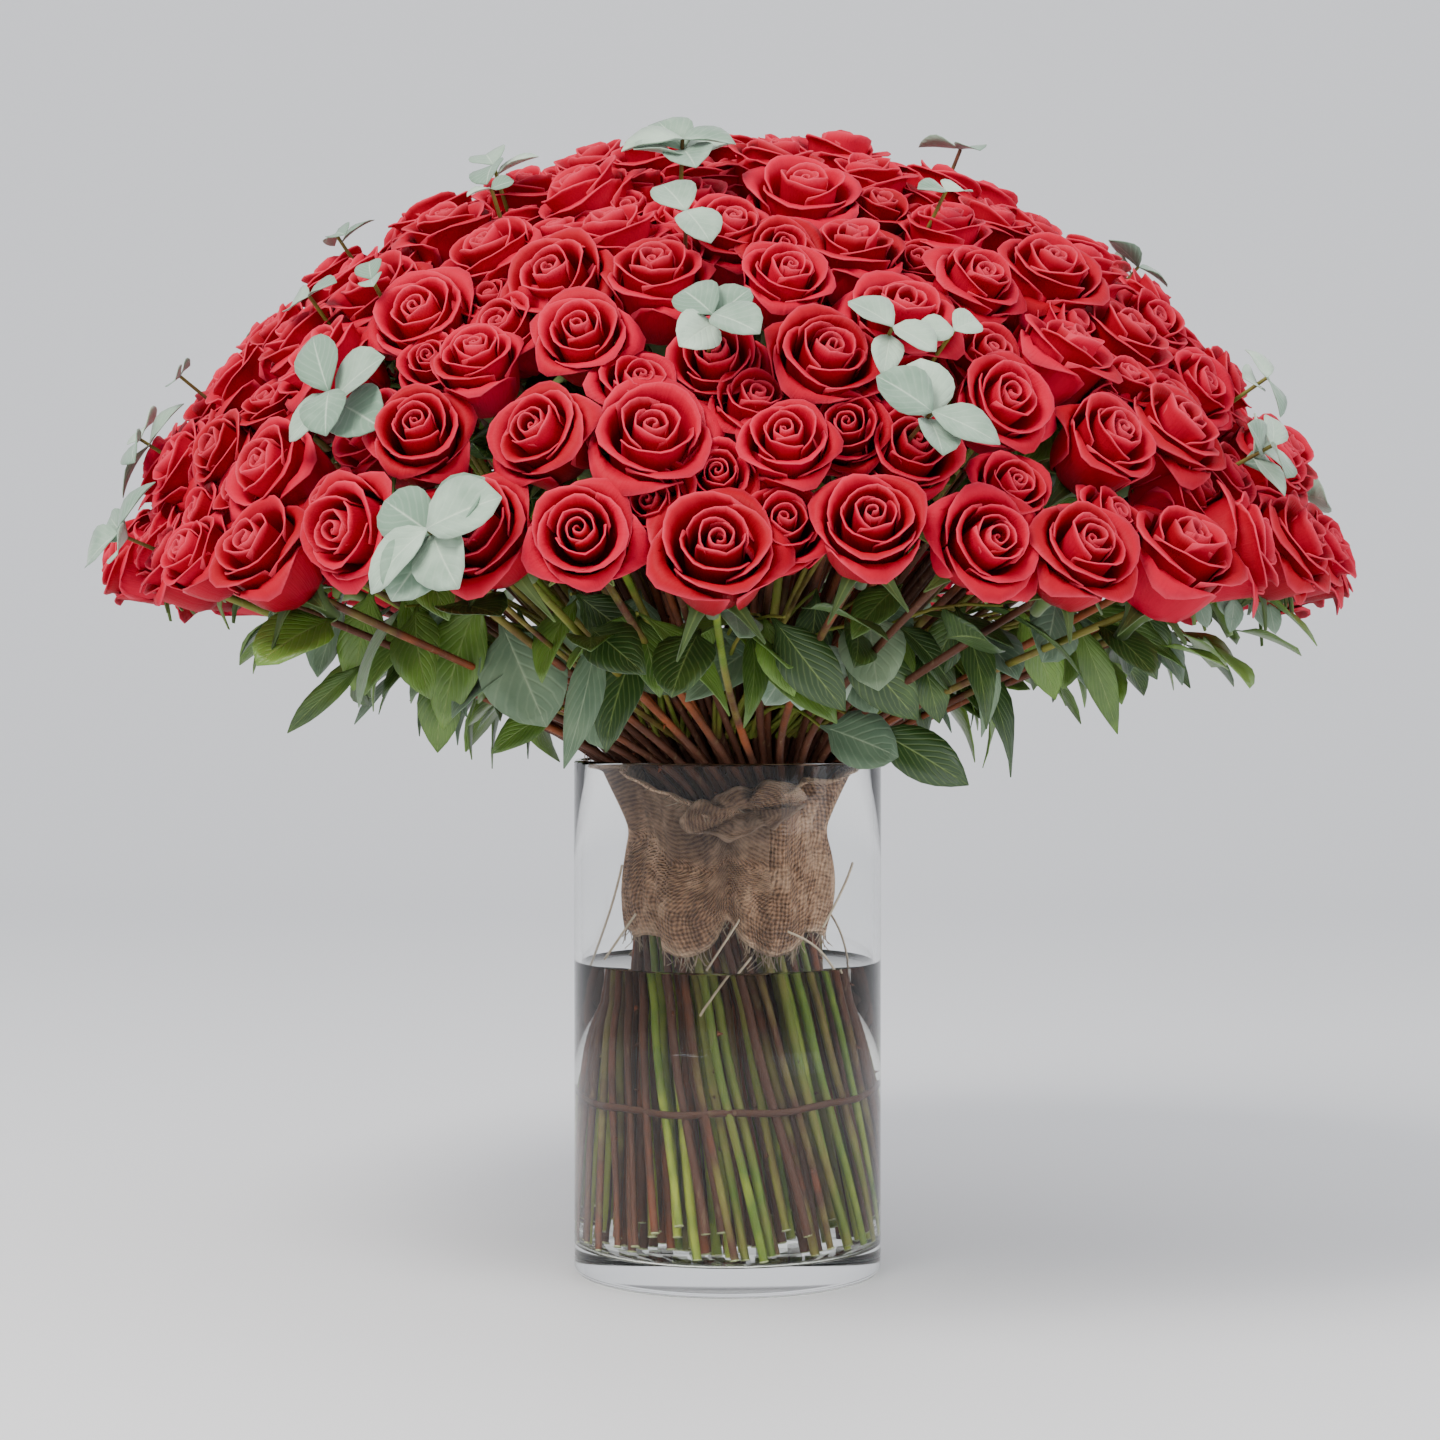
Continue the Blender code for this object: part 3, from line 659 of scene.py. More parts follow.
def makeCalyx(seed):
    dice = random.Random(seed)
    pile = Pile()
    line = through(calyx["profile"], np.linspace(0, 1, 7))
    sides = calyx["sides"]
    points = [(r * x, r * y, z) for r, z in line for x, y in ringOf(sides)]
    faces = facesBetween(len(line), sides)
    faces += [tuple(range(sides))[::-1], tuple((len(line) - 1) * sides + c for c in range(sides))]
    flat = np.zeros(len(points))
    pile.put(np.array(points), faces, {"rise": flat, "across": flat + 0.5})
    for i in range(calyx["sepals"]):
        turn = wholeTurn * i / calyx["sepals"] + dice.uniform(-0.2, 0.2)
        length = dice.uniform(0.020, 0.028)
        back = dice.uniform(-0.010, 0.004)
        middle = through([(0.005, 0.003), (0.013, 0.004), (length, back)], np.linspace(0, 1, 6))
        widths = calyx["sepalWidth"] * np.array([0.8, 1.0, 0.8, 0.55, 0.3, 0.05])
        grid = np.zeros((6, 3, 3))
        for c, u in enumerate((-1, 0, 1)):
            grid[:, c, 0] = middle[:, 0] * math.cos(turn) - u * widths * math.sin(turn)
            grid[:, c, 1] = middle[:, 0] * math.sin(turn) + u * widths * math.cos(turn)
            grid[:, c, 2] = middle[:, 1] + 0.0012 * abs(u)
        lift, wide = np.meshgrid(np.linspace(0, 1, 6), [-1.0, 0.0, 1.0], indexing="ij")
        pile.put(*shellFromGrid(grid, calyx["thickness"], {"rise": lift, "across": wide}))
    return pile.mesh(f"calyxKind_{seed}")


# Euler angles that take +Z to axis, after a spin about it
def turnTo(axis, spin):
    turned = Vector(axis).to_track_quat("Z", "Y").to_matrix() @ Matrix.Rotation(spin, 3, "Z")
    return tuple(turned.to_euler("XYZ"))


# Euler angles that lay +X along axis with +Z towards normal
def turnAlong(axis, normal):
    x = Vector(axis).normalized()
    z = Vector(normal) - Vector(normal).dot(x) * x
    z = z.normalized() if z.length > 1e-6 else x.orthogonal().normalized()
    y = z.cross(x)
    return tuple(Matrix((x, y, z)).transposed().to_euler("XYZ"))


# places in the gaps between the roses, widest gaps first
def gapPlaces(count, taken):
    draws = np.random.default_rng(4)
    cap = 1 - math.cos(bouquet["polar"] + 0.02)
    height = 1 - draws.random(filler["offered"]) * cap
    turn = draws.random(filler["offered"]) * wholeTurn
    offered = ballPoints(np.sqrt(1 - height ** 2), turn, height)
    found = []
    for _ in range(count):
        best = int(np.argmin((offered @ taken.T).max(1)))
        found.append(offered[best])
        taken = np.concatenate([taken, offered[best:best + 1]])
    return found


def standRose(dice, place, depth, size, tilt):
    axis = unit(place + np.array([dice.gauss(0, tilt) for _ in range(3)]))
    base = domeCentre + place * (rose["crown"] + depth) - axis * rose["length"] * size
    return {"base": base, "place": place, "axis": axis, "size": size,
            "turn": turnTo(axis, dice.uniform(0, anyTurn)),
            "pick": dice.randrange(rose["kinds"]), "tone": dice.random()}


def placeRoses():
    dice = random.Random(11)
    found = {}
    for i in rosePlaces:
        jitter = np.array([dice.gauss(0, rose["jitter"]) for _ in range(3)])
        found[i] = standRose(dice, unit(allPlaces[i] + jitter), dice.uniform(*rose["depth"]),
                             dice.uniform(*rose["size"]), rose["tilt"])
    return found


def placeFillers():
    dice = random.Random(12)
    standing = [one["place"] for one in roses.values()] + [allPlaces[i] for i in slots]
    found = [standRose(dice, place, dice.uniform(*filler["depth"]),
                       dice.uniform(*filler["size"]), filler["tilt"])
             for place in gapPlaces(filler["count"], np.array(standing))]
    # a rose stands low in each gap that a sprig comes through
    for i in slots:
        found.append(standRose(dice, allPlaces[i], -0.012, 1.02, 0.08))
    return found


petalFinish = petalLook()
roses = placeRoses()
fillers = placeFillers()
roseKinds = shapeCollection("roseKind", [makeRose(20 + i) for i in range(rose["kinds"])])
calyxKinds = shapeCollection("calyxKind", [makeCalyx(40 + i) for i in range(calyx["kinds"])])
for number, members in enumerate(membersOf):
    standing = [roses[i] for i in members]
    standing += [one for one in fillers if nearestBunch(one["axis"]) == number]
    bunch = scatterOn(f"roses_{number + 1:02}", standing, roseKinds, petalFinish)
    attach(bunch, "root")
    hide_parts(f"rose_cluster_{number + 1:02}")
print("roses grown")


# stems: lowest and highest are how far the cut ends stand off the floor of the water
stem = {"waistBelowRim": 0.045, "waistRadius": 0.0425, "twist": 6.4, "thickness": 0.0021,
        "neck": 0.0017, "sides": 7, "lowest": 0.0008, "highest": 0.020, "sway": 0.0011,
        "swayPitch": 38, "widest": 0.0680, "handle": 0.052, "flowerHandle": 0.085,
        "knots": 0.16, "underDomeShade": 0.74, "underDomeShadeAt": 0.66}
waistHeight = vaseHigh.z - stem["waistBelowRim"]
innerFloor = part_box("water")[0][2]


# straight and twisted below the waist, then one bend up to the flower
def stemLine(place, base, dice):
    azimuth = math.atan2(place[1], place[0])
    share = math.sqrt((1 - place[2]) / (1 - math.cos(bouquet["polar"])))
    radius = stem["waistRadius"] * share
    turn = azimuth - bouquet["swirl"]
    waist = np.array([radius * math.cos(turn), radius * math.sin(turn), waistHeight])
    tangent = np.array([radius * stem["twist"] * math.sin(turn),
                        -radius * stem["twist"] * math.cos(turn), 1.0])
    rise = (stem["highest"] - stem["lowest"]) * dice.random() ** 1.6
    foot = innerFloor + stem["lowest"] + rise
    sideTurn = dice.uniform(0, anyTurn)
    phase = dice.uniform(0, anyTurn)
    side = np.array([math.cos(sideTurn), math.sin(sideTurn), 0.0])
    points = []
    for height in np.linspace(foot, waistHeight, 16)[:-1]:
        up = height - waistHeight
        point = waist + tangent * up
        point = point + side * stem["sway"] * math.sin(stem["swayPitch"] * up + phase)
        reach = math.hypot(point[0], point[1])
        if reach > stem["widest"]:
            point[:2] *= stem["widest"] / reach
        points.append(point)
    handle = waist + tangent / np.linalg.norm(tangent) * stem["handle"]
    third = domeCentre + place * stem["flowerHandle"]
    for t in np.linspace(0, 1, 15):
        points.append((1 - t) ** 3 * waist + 3 * (1 - t) ** 2 * t * handle
                      + 3 * (1 - t) * t ** 2 * third + t ** 3 * base)
    return np.array(points)


stemFinish = stemLook()
stemDice = random.Random(5)
stemPaths = {i: stemLine(allPlaces[i], roses[i]["base"], stemDice) for i in rosePlaces}
share = np.linspace(0, 1, len(stemPaths[rosePlaces[0]]))
# painted shade: darker and browner where they leave the wrap, under the leaves and flowers
domeShade = 1 - stem["underDomeShade"] * np.exp(-((share - stem["underDomeShadeAt"]) / 0.2) ** 2)
for number, members in enumerate(membersOf):
    widths = []
    for i in members:
        own = stem["thickness"] * stemDice.uniform(0.85, 1.12)
        wave = np.maximum(0, np.sin(share * 21 + stemDice.uniform(0, anyTurn)))
        knots = 1 + stem["knots"] * wave ** 8
        widths.append((own + (stem["neck"] - own) * share) * knots)
    bundle = growTubes(f"stems_{number + 1:02}", [stemPaths[i] for i in members], widths,
                       [stemDice.random() * domeShade for _ in members], stem["sides"], stemFinish)
    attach(bundle, "root")
    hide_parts(f"stem_bundle_{number + 1:02}")
print("stems grown")


def makeThorn():
    points = [(-0.0009, 0, 0), (0, -0.0006, 0), (0.0011, 0, 0), (0, 0.0006, 0),
              (-0.0004, 0, 0.0026)]
    faces = [(0, 1, 4), (1, 2, 4), (2, 3, 4), (3, 0, 4), (3, 2, 1, 0)]
    return closedMesh("thornKind", points, faces)


thorns = []
for i in rosePlaces:
    path = stemPaths[i]
    for _ in range(4):
        k = stemDice.randrange(3, len(path) - 2)
        along = path[k + 1] - path[k]
        side = unit(np.cross(along, [stemDice.gauss(0, 1) for _ in range(3)]))
        thorns.append({"base": path[k] + side * stem["thickness"],
                       "turn": turnAlong(along, side), "size": stemDice.uniform(0.7, 1.2),
                       "pick": 0, "tone": stemDice.uniform(0.3, 0.6)})
thornPiece = scatterOn("thorns", thorns, shapeCollection("thornKind", [makeThorn()]), stemFinish)
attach(thornPiece, "root")

# pale cut ends under water: a disc a little wider than its stem
cut = {"sides": 9, "radius": 0.0022, "below": -0.0003, "above": 0.0004, "point": -0.0006}


def makeCut():
    sides = cut["sides"]
    points = [(x * cut["radius"], y * cut["radius"], z)
              for z in (cut["below"], cut["above"]) for x, y in ringOf(sides)]
    points += [(0, 0, cut["point"]), (0, 0, cut["above"])]
    faces = facesBetween(2, sides)
    faces += [((k + 1) % sides, k, 2 * sides) for k in range(sides)]
    faces += [(sides + k, sides + (k + 1) % sides, 2 * sides + 1) for k in range(sides)]
    return closedMesh("cutKind", points, faces)


def cutLook():
    look = {"pith": (0.58, 0.60, 0.36), "ring": (0.30, 0.34, 0.14)}
    material, kit = newLook("cutStem", {"Roughness": 0.7, "Specular IOR Level": 0.2})
    grain = kit.noise(kit.place(), 700.0, 3.0)
    share = ((grain - 0.35) * 2.5).clamped()
    kit.dress("Base Color", kit.mixColour(share, look["ring"], look["pith"]))
    kit.dress("Normal", kit.bump(grain, 0.5, 0.0004))
    return material


cuts = [{"base": path[0], "turn": turnTo(path[1] - path[0], 0.0), "size": 1.0, "pick": 0,
         "tone": 0.5} for path in stemPaths.values()]
cutPiece = scatterOn("cutEnds", cuts, shapeCollection("cutKind", [makeCut()]), cutLook())
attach(cutPiece, "root")

calyxFinish = leafLook("calyxSkin", {
    "coat": 0.0, "bloom": 0.1, "veins": 0.0, "ribWidth": 3.0, "veinShow": 0.0,
    "dark": (0.045, 0.085, 0.012), "light": (0.13, 0.20, 0.035), "rib": (0.17, 0.24, 0.06),
    "rough": 0.5, "relief": 0.25})
cups = scatterOn("calyxes", [{**one, "pick": one["pick"] % calyx["kinds"]}
                             for one in roses.values()], calyxKinds, calyxFinish)
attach(cups, "root")


# one leaf along +X, folded a little on its rib, drooping to its tip
def makeLeaf(name, leaf):
    rows, columns = leaf["rows"], leaf["columns"]
    along = np.linspace(0, 1, rows)
    across = np.linspace(-1, 1, columns)
    stalk = leaf["stalk"]
    blade = np.clip((along - stalk) / (1 - stalk), 0, 1)
    half = leaf["width"] / 2 * np.sin(np.pi * blade ** leaf["belly"]) ** leaf["round"]
    half = np.maximum(half, np.where(along < stalk, 0.0007, 0.0003))
    wave = random.Random(leaf["seed"]).uniform(0, anyTurn)
    grid = np.zeros((rows, columns, 3))
    angle = leaf["droop"] * along
    step = leaf["length"] * along
    # the rib follows an arc
    chord = leaf["length"] * np.sinc(angle / 2 / np.pi)
    ribX = chord * np.cos(angle / 2) * along
    ribZ = -chord * np.sin(angle / 2) * along
    for c, u in enumerate(across):
        lift = half * abs(u) * leaf["fold"] + leaf["cup"] * half * u * u
        swing = np.sin(9 * along + wave + 1.6 * np.sign(u))
        ripple = leaf["ripple"] * abs(u) ** 2 * swing * (half > 0.002)
        flat = half * u * math.cos(math.atan(leaf["fold"]))
        grid[:, c, 0] = ribX + (lift + ripple) * np.sin(angle)
        grid[:, c, 1] = flat + leaf["sway"] * step * along
        grid[:, c, 2] = ribZ + (lift + ripple) * np.cos(angle)
    rise, wide = np.meshgrid(blade, across, indexing="ij")
    return closedMesh(name, *shellFromGrid(grid, 0.0005, {"rise": rise, "across": wide}))


leafShapes = {
    "broad": {"length": 0.062, "width": 0.029, "stalk": 0.10, "belly": 0.85, "round": 0.85,
              "fold": 0.18, "cup": 0.0, "droop": 0.55, "ripple": 0.0010, "sway": 0.04},
    "long": {"length": 0.074, "width": 0.019, "stalk": 0.08, "belly": 0.80, "round": 0.95,
             "fold": 0.22, "cup": 0.0, "droop": 0.7, "ripple": 0.0012, "sway": -0.06},
    "round": {"length": 0.054, "width": 0.041, "stalk": 0.12, "belly": 0.80, "round": 0.62,
              "fold": 0.10, "cup": 0.06, "droop": 0.4, "ripple": 0.0012, "sway": 0.02},
    "coin": {"length": 0.031, "width": 0.027, "stalk": 0.05, "belly": 0.88, "round": 0.60,
             "fold": 0.08, "cup": 0.22, "droop": 0.35, "ripple": 0.0006, "sway": 0.0},
    "drop": {"length": 0.036, "width": 0.021, "stalk": 0.06, "belly": 0.78, "round": 0.72,
             "fold": 0.10, "cup": 0.18, "droop": 0.5, "ripple": 0.0006, "sway": 0.05},
}


def leafKinds(name, chosen, rows, columns):
    meshes = []
    for k, label in enumerate(chosen):
        shape = {**leafShapes[label], "rows": rows, "columns": columns, "seed": 70 + k}
        meshes.append(makeLeaf(f"{name}_{k}", shape))
    return shapeCollection(name, meshes)


greenKinds = leafKinds("greenLeafKind", ["broad", "long", "round"], 9, 5)
mintKinds = leafKinds("mintLeafKind", ["coin", "drop", "round"], 8, 5)
greenFinish = leafLook("glossyLeaf", {
    "coat": 0.25, "bloom": 0.0, "veins": 9.0, "ribWidth": 14.0, "veinShow": 0.22,
    "dark": (0.022, 0.060, 0.010), "light": (0.150, 0.280, 0.035), "rib": (0.26, 0.36, 0.10),
    "rough": 0.34, "relief": 0.5})
mintFinish = leafLook("eucalyptusLeaf", {
    "coat": 0.0, "bloom": 0.35, "veins": 6.0, "ribWidth": 12.0, "veinShow": 0.12,
    "dark": (0.150, 0.250, 0.170), "light": (0.46, 0.58, 0.45), "rib": (0.52, 0.62, 0.48),
    "rough": 0.6, "relief": 0.25})
greyFinish = leafLook("greyGreenLeaf", {
    "coat": 0.05, "bloom": 0.2, "veins": 7.0, "ribWidth": 13.0, "veinShow": 0.16,
    "dark": (0.070, 0.130, 0.070), "light": (0.210, 0.300, 0.170), "rib": (0.33, 0.42, 0.26),
    "rough": 0.5, "relief": 0.35})


# greenery under the dome: leaves on sprays, hanging outward
under = {"sprays": 8, "leavesPerTwig": 6, "twigs": 3, "inner": 0.056, "outer": 0.205,
         "foot": 0.262, "high": 0.328, "greyLeaves": 64, "roseLeaves": 210}


def turnedLeaf(base, axis, face, size, pick, tone):
    return {"base": np.array(base), "turn": turnAlong(axis, face), "size": size, "pick": pick,
            "tone": tone}


# a leaf that leaves its twig outward and down, with its upper side out
def hangingLeaf(dice, base, azimuth, drop, size, pick):
    radial = np.array([math.cos(azimuth), math.sin(azimuth), 0.0])
    tangent = np.array([-radial[1], radial[0], 0.0])
    skew = dice.gauss(0, 0.55)
    down = np.array([0.0, 0.0, -1.0])
    outward = radial * math.cos(drop) + down * math.sin(drop)
    axis = outward * math.cos(skew) + tangent * math.sin(skew)
    face = radial * math.sin(drop) - down * math.cos(drop) + tangent * dice.gauss(0, 0.4)
    return turnedLeaf(base, axis, face, size, pick, dice.random())


def sprayPaths(dice, azimuth):
    paths = []
    for k in range(under["twigs"]):
        turn = azimuth + (k - (under["twigs"] - 1) / 2) * 0.26 + dice.uniform(-0.06, 0.06)
        reach = dice.uniform(0.145, under["outer"])
        high = under["high"] - dice.uniform(0.0, 0.022)
        path = []
        for t in np.linspace(0, 1, 9):
            r = under["inner"] + (reach - under["inner"]) * t
            z = under["foot"] + (high - under["foot"]) * math.sin(t * 1.75) ** 0.9
            swing = turn - 0.2 * (1 - t)
            path.append((r * math.cos(swing), r * math.sin(swing), z))
        paths.append(np.array(path))
    return paths


def alongPath(path, share):
    at = min(int(share * (len(path) - 1)), len(path) - 2)
    return path[at] + (path[at + 1] - path[at]) * (share * (len(path) - 1) - at)


# leaves at the front: place in mm, slant in degrees, kind, size, tone
frontLeaves = [
    (-164, -80, 332, -104, 0, 0.80, 0.95), (-150, -96, 331, -62, 0, 0.78, 0.85),
    (-168, -86, 296, -142, 1, 0.66, 0.45), (-110, -112, 330, -116, 0, 1.08, 0.80),
    (-130, -104, 300, -93, 0, 0.72, 0.60), (-76, -100, 276, -158, 0, 0.62, 0.75),
    (-38, -112, 317, -128, 0, 0.50, 1.00), (-17, -116, 331, -72, 0, 0.52, 1.00),
    (-56, -106, 303, -25, 0, 0.72, 0.25), (82, -112, 312, -112, 0, 0.62, 1.00),
    (40, -114, 330, -95, 0, 0.66, 0.15), (64, -92, 268, -28, 0, 0.88, 0.10),
    (86, -108, 306, -74, 0, 0.62, 0.30), (132, -102, 322, -64, 0, 0.74, 0.92),
    (158, -96, 318, -66, 1, 0.80, 0.65), (150, -100, 324, -12, 1, 0.90, 0.50),
    (186, -90, 326, -52, 0, 0.52, 0.30), (108, -108, 324, -120, 0, 0.66, 0.35),
    (-96, -100, 322, -70, 1, 0.70, 0.30), (20, -108, 322, -130, 0, 0.55, 0.20)]
frontGrey = [
    (-103, -116, 316, -66, 2, 0.98, 0.60), (-72, -112, 330, -60, 2, 0.70, 0.50),
    (-40, -108, 330, -100, 2, 0.62, 0.40), (42, -96, 268, -18, 2, 0.72, 0.35),
    (116, -106, 308, -80, 1, 0.62, 0.55), (-120, -108, 334, -100, 2, 0.62, 0.35),
    (-10, -110, 316, -68, 2, 0.58, 0.45), (66, -108, 330, -70, 2, 0.60, 0.30),
    (-62, -98, 290, -80, 2, 0.62, 0.50), (54, -104, 300, -60, 2, 0.55, 0.25)]
frontMint = [
    (33, -116, 302, -128, 0, 0.95, 0.60), (33, -117, 303, -48, 0, 1.00, 0.75),
    (34, -115, 300, -88, 0, 0.8, 0.5), (196, -92, 330, -60, 1, 0.42, 0.5),
    (206, -92, 330, -110, 1, 0.40, 0.4), (214, -92, 328, -70, 1, 0.45, 0.5),
    (224, -92, 328, -50, 1, 0.42, 0.6), (232, -92, 327, -95, 1, 0.46, 0.5),
    (240, -92, 326, -60, 1, 0.42, 0.6), (248, -92, 324, -80, 1, 0.40, 0.5)]
mintTwig = [(0.06, -0.03, 0.265), (0.12, -0.07, 0.31), (0.17, -0.088, 0.331),
            (0.21, -0.092, 0.331), (0.25, -0.092, 0.325)]


def facingLeaf(dice, place, slant, size, pick, tone):
    axis = np.array([math.cos(math.radians(slant)), -0.25, math.sin(math.radians(slant))])
    face = np.array([0.25 * axis[0] + dice.gauss(0, 0.25), -1.0, 0.35 + dice.gauss(0, 0.2)])
    return turnedLeaf(place, axis, face, size, pick, tone)


# a path from start to end that bows out by bend half way
def bowedPath(start, end, bend, count=9):
    return np.array([start + (end - start) * t + bend * math.sin(math.pi * t)
                     for t in np.linspace(0, 1, count)])


twigPaths = []
dice = random.Random(77)
shown = {"green": [], "grey": [], "mint": []}
for label, table in (("green", frontLeaves), ("grey", frontGrey), ("mint", frontMint)):
    for x, y, z, slant, pick, size, tone in table:
        end = np.array([x, y, z]) * 0.001
        shown[label].append(facingLeaf(dice, end, slant, size, pick, tone))
        azimuth = math.atan2(y, x) - 0.3
        start = np.array([0.05 * math.cos(azimuth), 0.05 * math.sin(azimuth), under["foot"]])
        # the row of small leaves at the right shares one twig
        if label != "mint" or x < 100:
            twigPaths.append(bowedPath(start, end, np.array([0, 0, 0.012])))
twigPaths.append(np.array(mintTwig))
sprayBoxes = [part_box(f"foliage_spray_{number + 1:02}") for number in range(under["sprays"])]
sprayTurns = [math.atan2(low[1] + high[1], low[0] + high[0]) for low, high in sprayBoxes]


def nearestSpray(base):
    turn = math.atan2(base[1], base[0])
    return int(np.argmax([math.cos(turn - other) for other in sprayTurns]))


for number, azimuth in enumerate(sprayTurns):
    dice = random.Random(300 + number)
    paths = sprayPaths(dice, azimuth)
    twigPaths += paths
    leaves = []
    for path in paths:
        for k in range(under["leavesPerTwig"]):
            share = 0.30 + 0.70 * (k + dice.random() * 0.6) / under["leavesPerTwig"]
            point = alongPath(path, share)
            turn = math.atan2(point[1], point[0])
            # the stems stay in view at the front
            if math.cos(turn - front) > 0.80 and math.hypot(point[0], point[1]) < 0.13:
                continue
            leaves.append(hangingLeaf(dice, point, turn, dice.uniform(0.1, 1.2),
                                      dice.uniform(0.62, 1.0), dice.choice([0, 0, 0, 1, 2])))
    leaves += [leaf for leaf in shown["green"] if nearestSpray(leaf["base"]) == number]
    spray = scatterOn(f"leaves_{number + 1:02}", leaves, greenKinds, greenFinish)
    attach(spray, "root")
    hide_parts(f"foliage_spray_{number + 1:02}")

# grey-green leaves and dark rose leaves close under the flowers, all round
dice = random.Random(78)
greyLeaves = shown["grey"]
for k in range(under["greyLeaves"]):
    azimuth = wholeTurn * (k + dice.random()) / under["greyLeaves"]
    if math.cos(azimuth - front) > 0.85 and dice.random() < 0.5:
        continue
    reach = dice.uniform(0.085, 0.200)
    height = 0.272 + 0.050 * (reach / 0.2) + dice.uniform(-0.008, 0.012)
    base = (reach * math.cos(azimuth), reach * math.sin(azimuth), height)
    greyLeaves.append(hangingLeaf(dice, base, azimuth, dice.uniform(0.2, 1.3),
                                  dice.uniform(0.55, 0.9), dice.choice([0, 1, 2, 2])))
greyPiece = scatterOn("greyLeaves", greyLeaves, greenKinds, greyFinish)
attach(greyPiece, "root")
roseLeaves = []
for k in range(under["roseLeaves"]):
    azimuth = wholeTurn * dice.random()
    polar = math.radians(72 * math.sqrt(dice.uniform(0.03, 1.0)))
    base = domeCentre + direction(polar, azimuth) * dice.uniform(0.215, 0.268)
    roseLeaves.append(hangingLeaf(dice, base, azimuth, dice.uniform(-0.2, 0.9),
                                  dice.uniform(0.55, 0.85), dice.choice([0, 0, 2])))
roseLeafPiece = scatterOn("roseLeaves", roseLeaves, greenKinds, greenFinish)
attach(roseLeafPiece, "root")
hangingMint = scatterOn("hangingEucalyptus", shown["mint"], mintKinds, mintFinish)
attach(hangingMint, "root")
twigPiece = growTubes("twigs", twigPaths, [np.linspace(0.0013, 0.0007, len(p)) for p in twigPaths],
                      [0.75] * len(twigPaths), 6, stemFinish)
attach(twigPiece, "root")
print("foliage grown")


# eucalyptus between the roses
sprig = {"foot": 0.035, "reach": 0.326, "bow": 0.012, "step": 0.005, "leafSize": 0.74}


# leaves in pairs round the tip, each pair a little lower and turned
def sprigLeaves(dice, tip, normal, count, size):
    across = unit(np.cross(normal, [0.0, 0.0, 1.0]))
    below = np.cross(across, normal)
    leaves = []
    spin = dice.uniform(0, anyTurn)
    for k in range(count):
        pair = k // 2
        turn = spin + k * math.pi + pair * 1.35 + dice.uniform(-0.3, 0.3)
        lift = dice.uniform(-0.05, 0.42) + 0.10 * pair
        flat = across * math.cos(turn) + below * math.sin(turn)
        axis = flat * math.cos(lift) + normal * math.sin(lift)
        face = normal * math.cos(lift) - flat * math.sin(lift) + across * dice.gauss(0, 0.25)
        base = tip - normal * (sprig["step"] * pair)
        own = sprig["leafSize"] * size * dice.uniform(0.85, 1.1)
        leaves.append(turnedLeaf(base, axis, face, own, dice.choice([0, 0, 1]), dice.random()))
    return leaves


mintStalks = []
spareMint = []
for number, (polar, azimuth, count, size) in enumerate(sprigsShown):
    dice = random.Random(500 + number)
    if number < len(slots):
        normal = allPlaces[slots[number]]
    else:
        normal = direction(math.radians(polar), front + math.radians(azimuth))
    foot = domeCentre + bunches[nearestBunch(normal)] * sprig["foot"]
    tip = domeCentre + normal * (sprig["reach"] + dice.uniform(0.0, 0.004))
    mintStalks.append(bowedPath(foot, tip, np.cross(normal, [0.3, 0.2, 1.0]) * sprig["bow"]))
    leaves = sprigLeaves(dice, tip, normal, count, size)
    if number < len(slots):
        piece = scatterOn(f"eucalyptus_{number + 1:02}", leaves, mintKinds, mintFinish)
        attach(piece, "root")
        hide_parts(f"eucalyptus_sprig_{number + 1:02}")
    else:
        spareMint += leaves
sparePiece = scatterOn("eucalyptusTips", spareMint, mintKinds, mintFinish)
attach(sparePiece, "root")
stalkPiece = growTubes("eucalyptusStalks", mintStalks,
                       [np.linspace(0.0016, 0.0009, 9)] * len(mintStalks),
                       [0.66] * len(mintStalks), 6, stemFinish)
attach(stalkPiece, "root")
print("eucalyptus grown")


# glass and water: heel is the rounding under the base, fillet the one inside it
vase = {"outer": 0.0750, "wall": 0.0035, "base": 0.014, "heel": 0.0035, "fillet": 0.006,
        "sides": 160}
waterTop = Vector(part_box("water")[1]).z
outer, wall, heel, base = vase["outer"], vase["wall"], vase["heel"], vase["base"]
inner = outer - wall
top = vaseHigh.z
quarter = math.pi / 2


# turns a profile of radius and height, which starts and ends on the axis
def lathe(name, profile, sides, look):
    points = [(r * x, r * y, z) for r, z in profile[1:-1] for x, y in ringOf(sides)]
    rings = len(profile) - 2
    faces = facesBetween(rings, sides)
    first = len(points)
    points += [(0, 0, profile[0][1]), (0, 0, profile[-1][1])]
    faces += [(first, (c + 1) % sides, c) for c in range(sides)]
    last = (rings - 1) * sides
    faces += [(first + 1, last + c, last + (c + 1) % sides) for c in range(sides)]
    return addPiece(name, closedMesh(name, points, faces), look)


def corner(x, z, radius, start, end, steps):
    return [(x + radius * math.cos(a), z + radius * math.sin(a))
            for a in np.linspace(start, end, steps)]


glassProfile = [(0, 0.0012), (0.030, 0.0010), (0.058, 0.0004), (0.066, 0.0)]
glassProfile += corner(outer - heel, heel, heel, -quarter, 0, 6)
glassProfile += [(outer, 0.03), (outer, 0.10), (outer, 0.20)]
glassProfile += corner(outer - wall / 2, top - wall / 2, wall / 2, 0, math.pi, 9)
glassProfile += [(inner, 0.20), (inner, 0.10), (inner, 0.03)]
glassProfile += corner(inner - vase["fillet"], base + vase["fillet"], vase["fillet"],
                       0, -quarter, 7)
glassProfile += [(0.045, base - 0.0006), (0.020, base - 0.0012), (0, base - 0.0014)]
glassFinish = clearLook("clearGlass", (0.985, 0.992, 0.990), 1.47, 0.30, (0.93, 0.95, 0.95))
glassPiece = lathe("vase", glassProfile, vase["sides"], glassFinish)
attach(glassPiece, "root")
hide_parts("glass_vase")

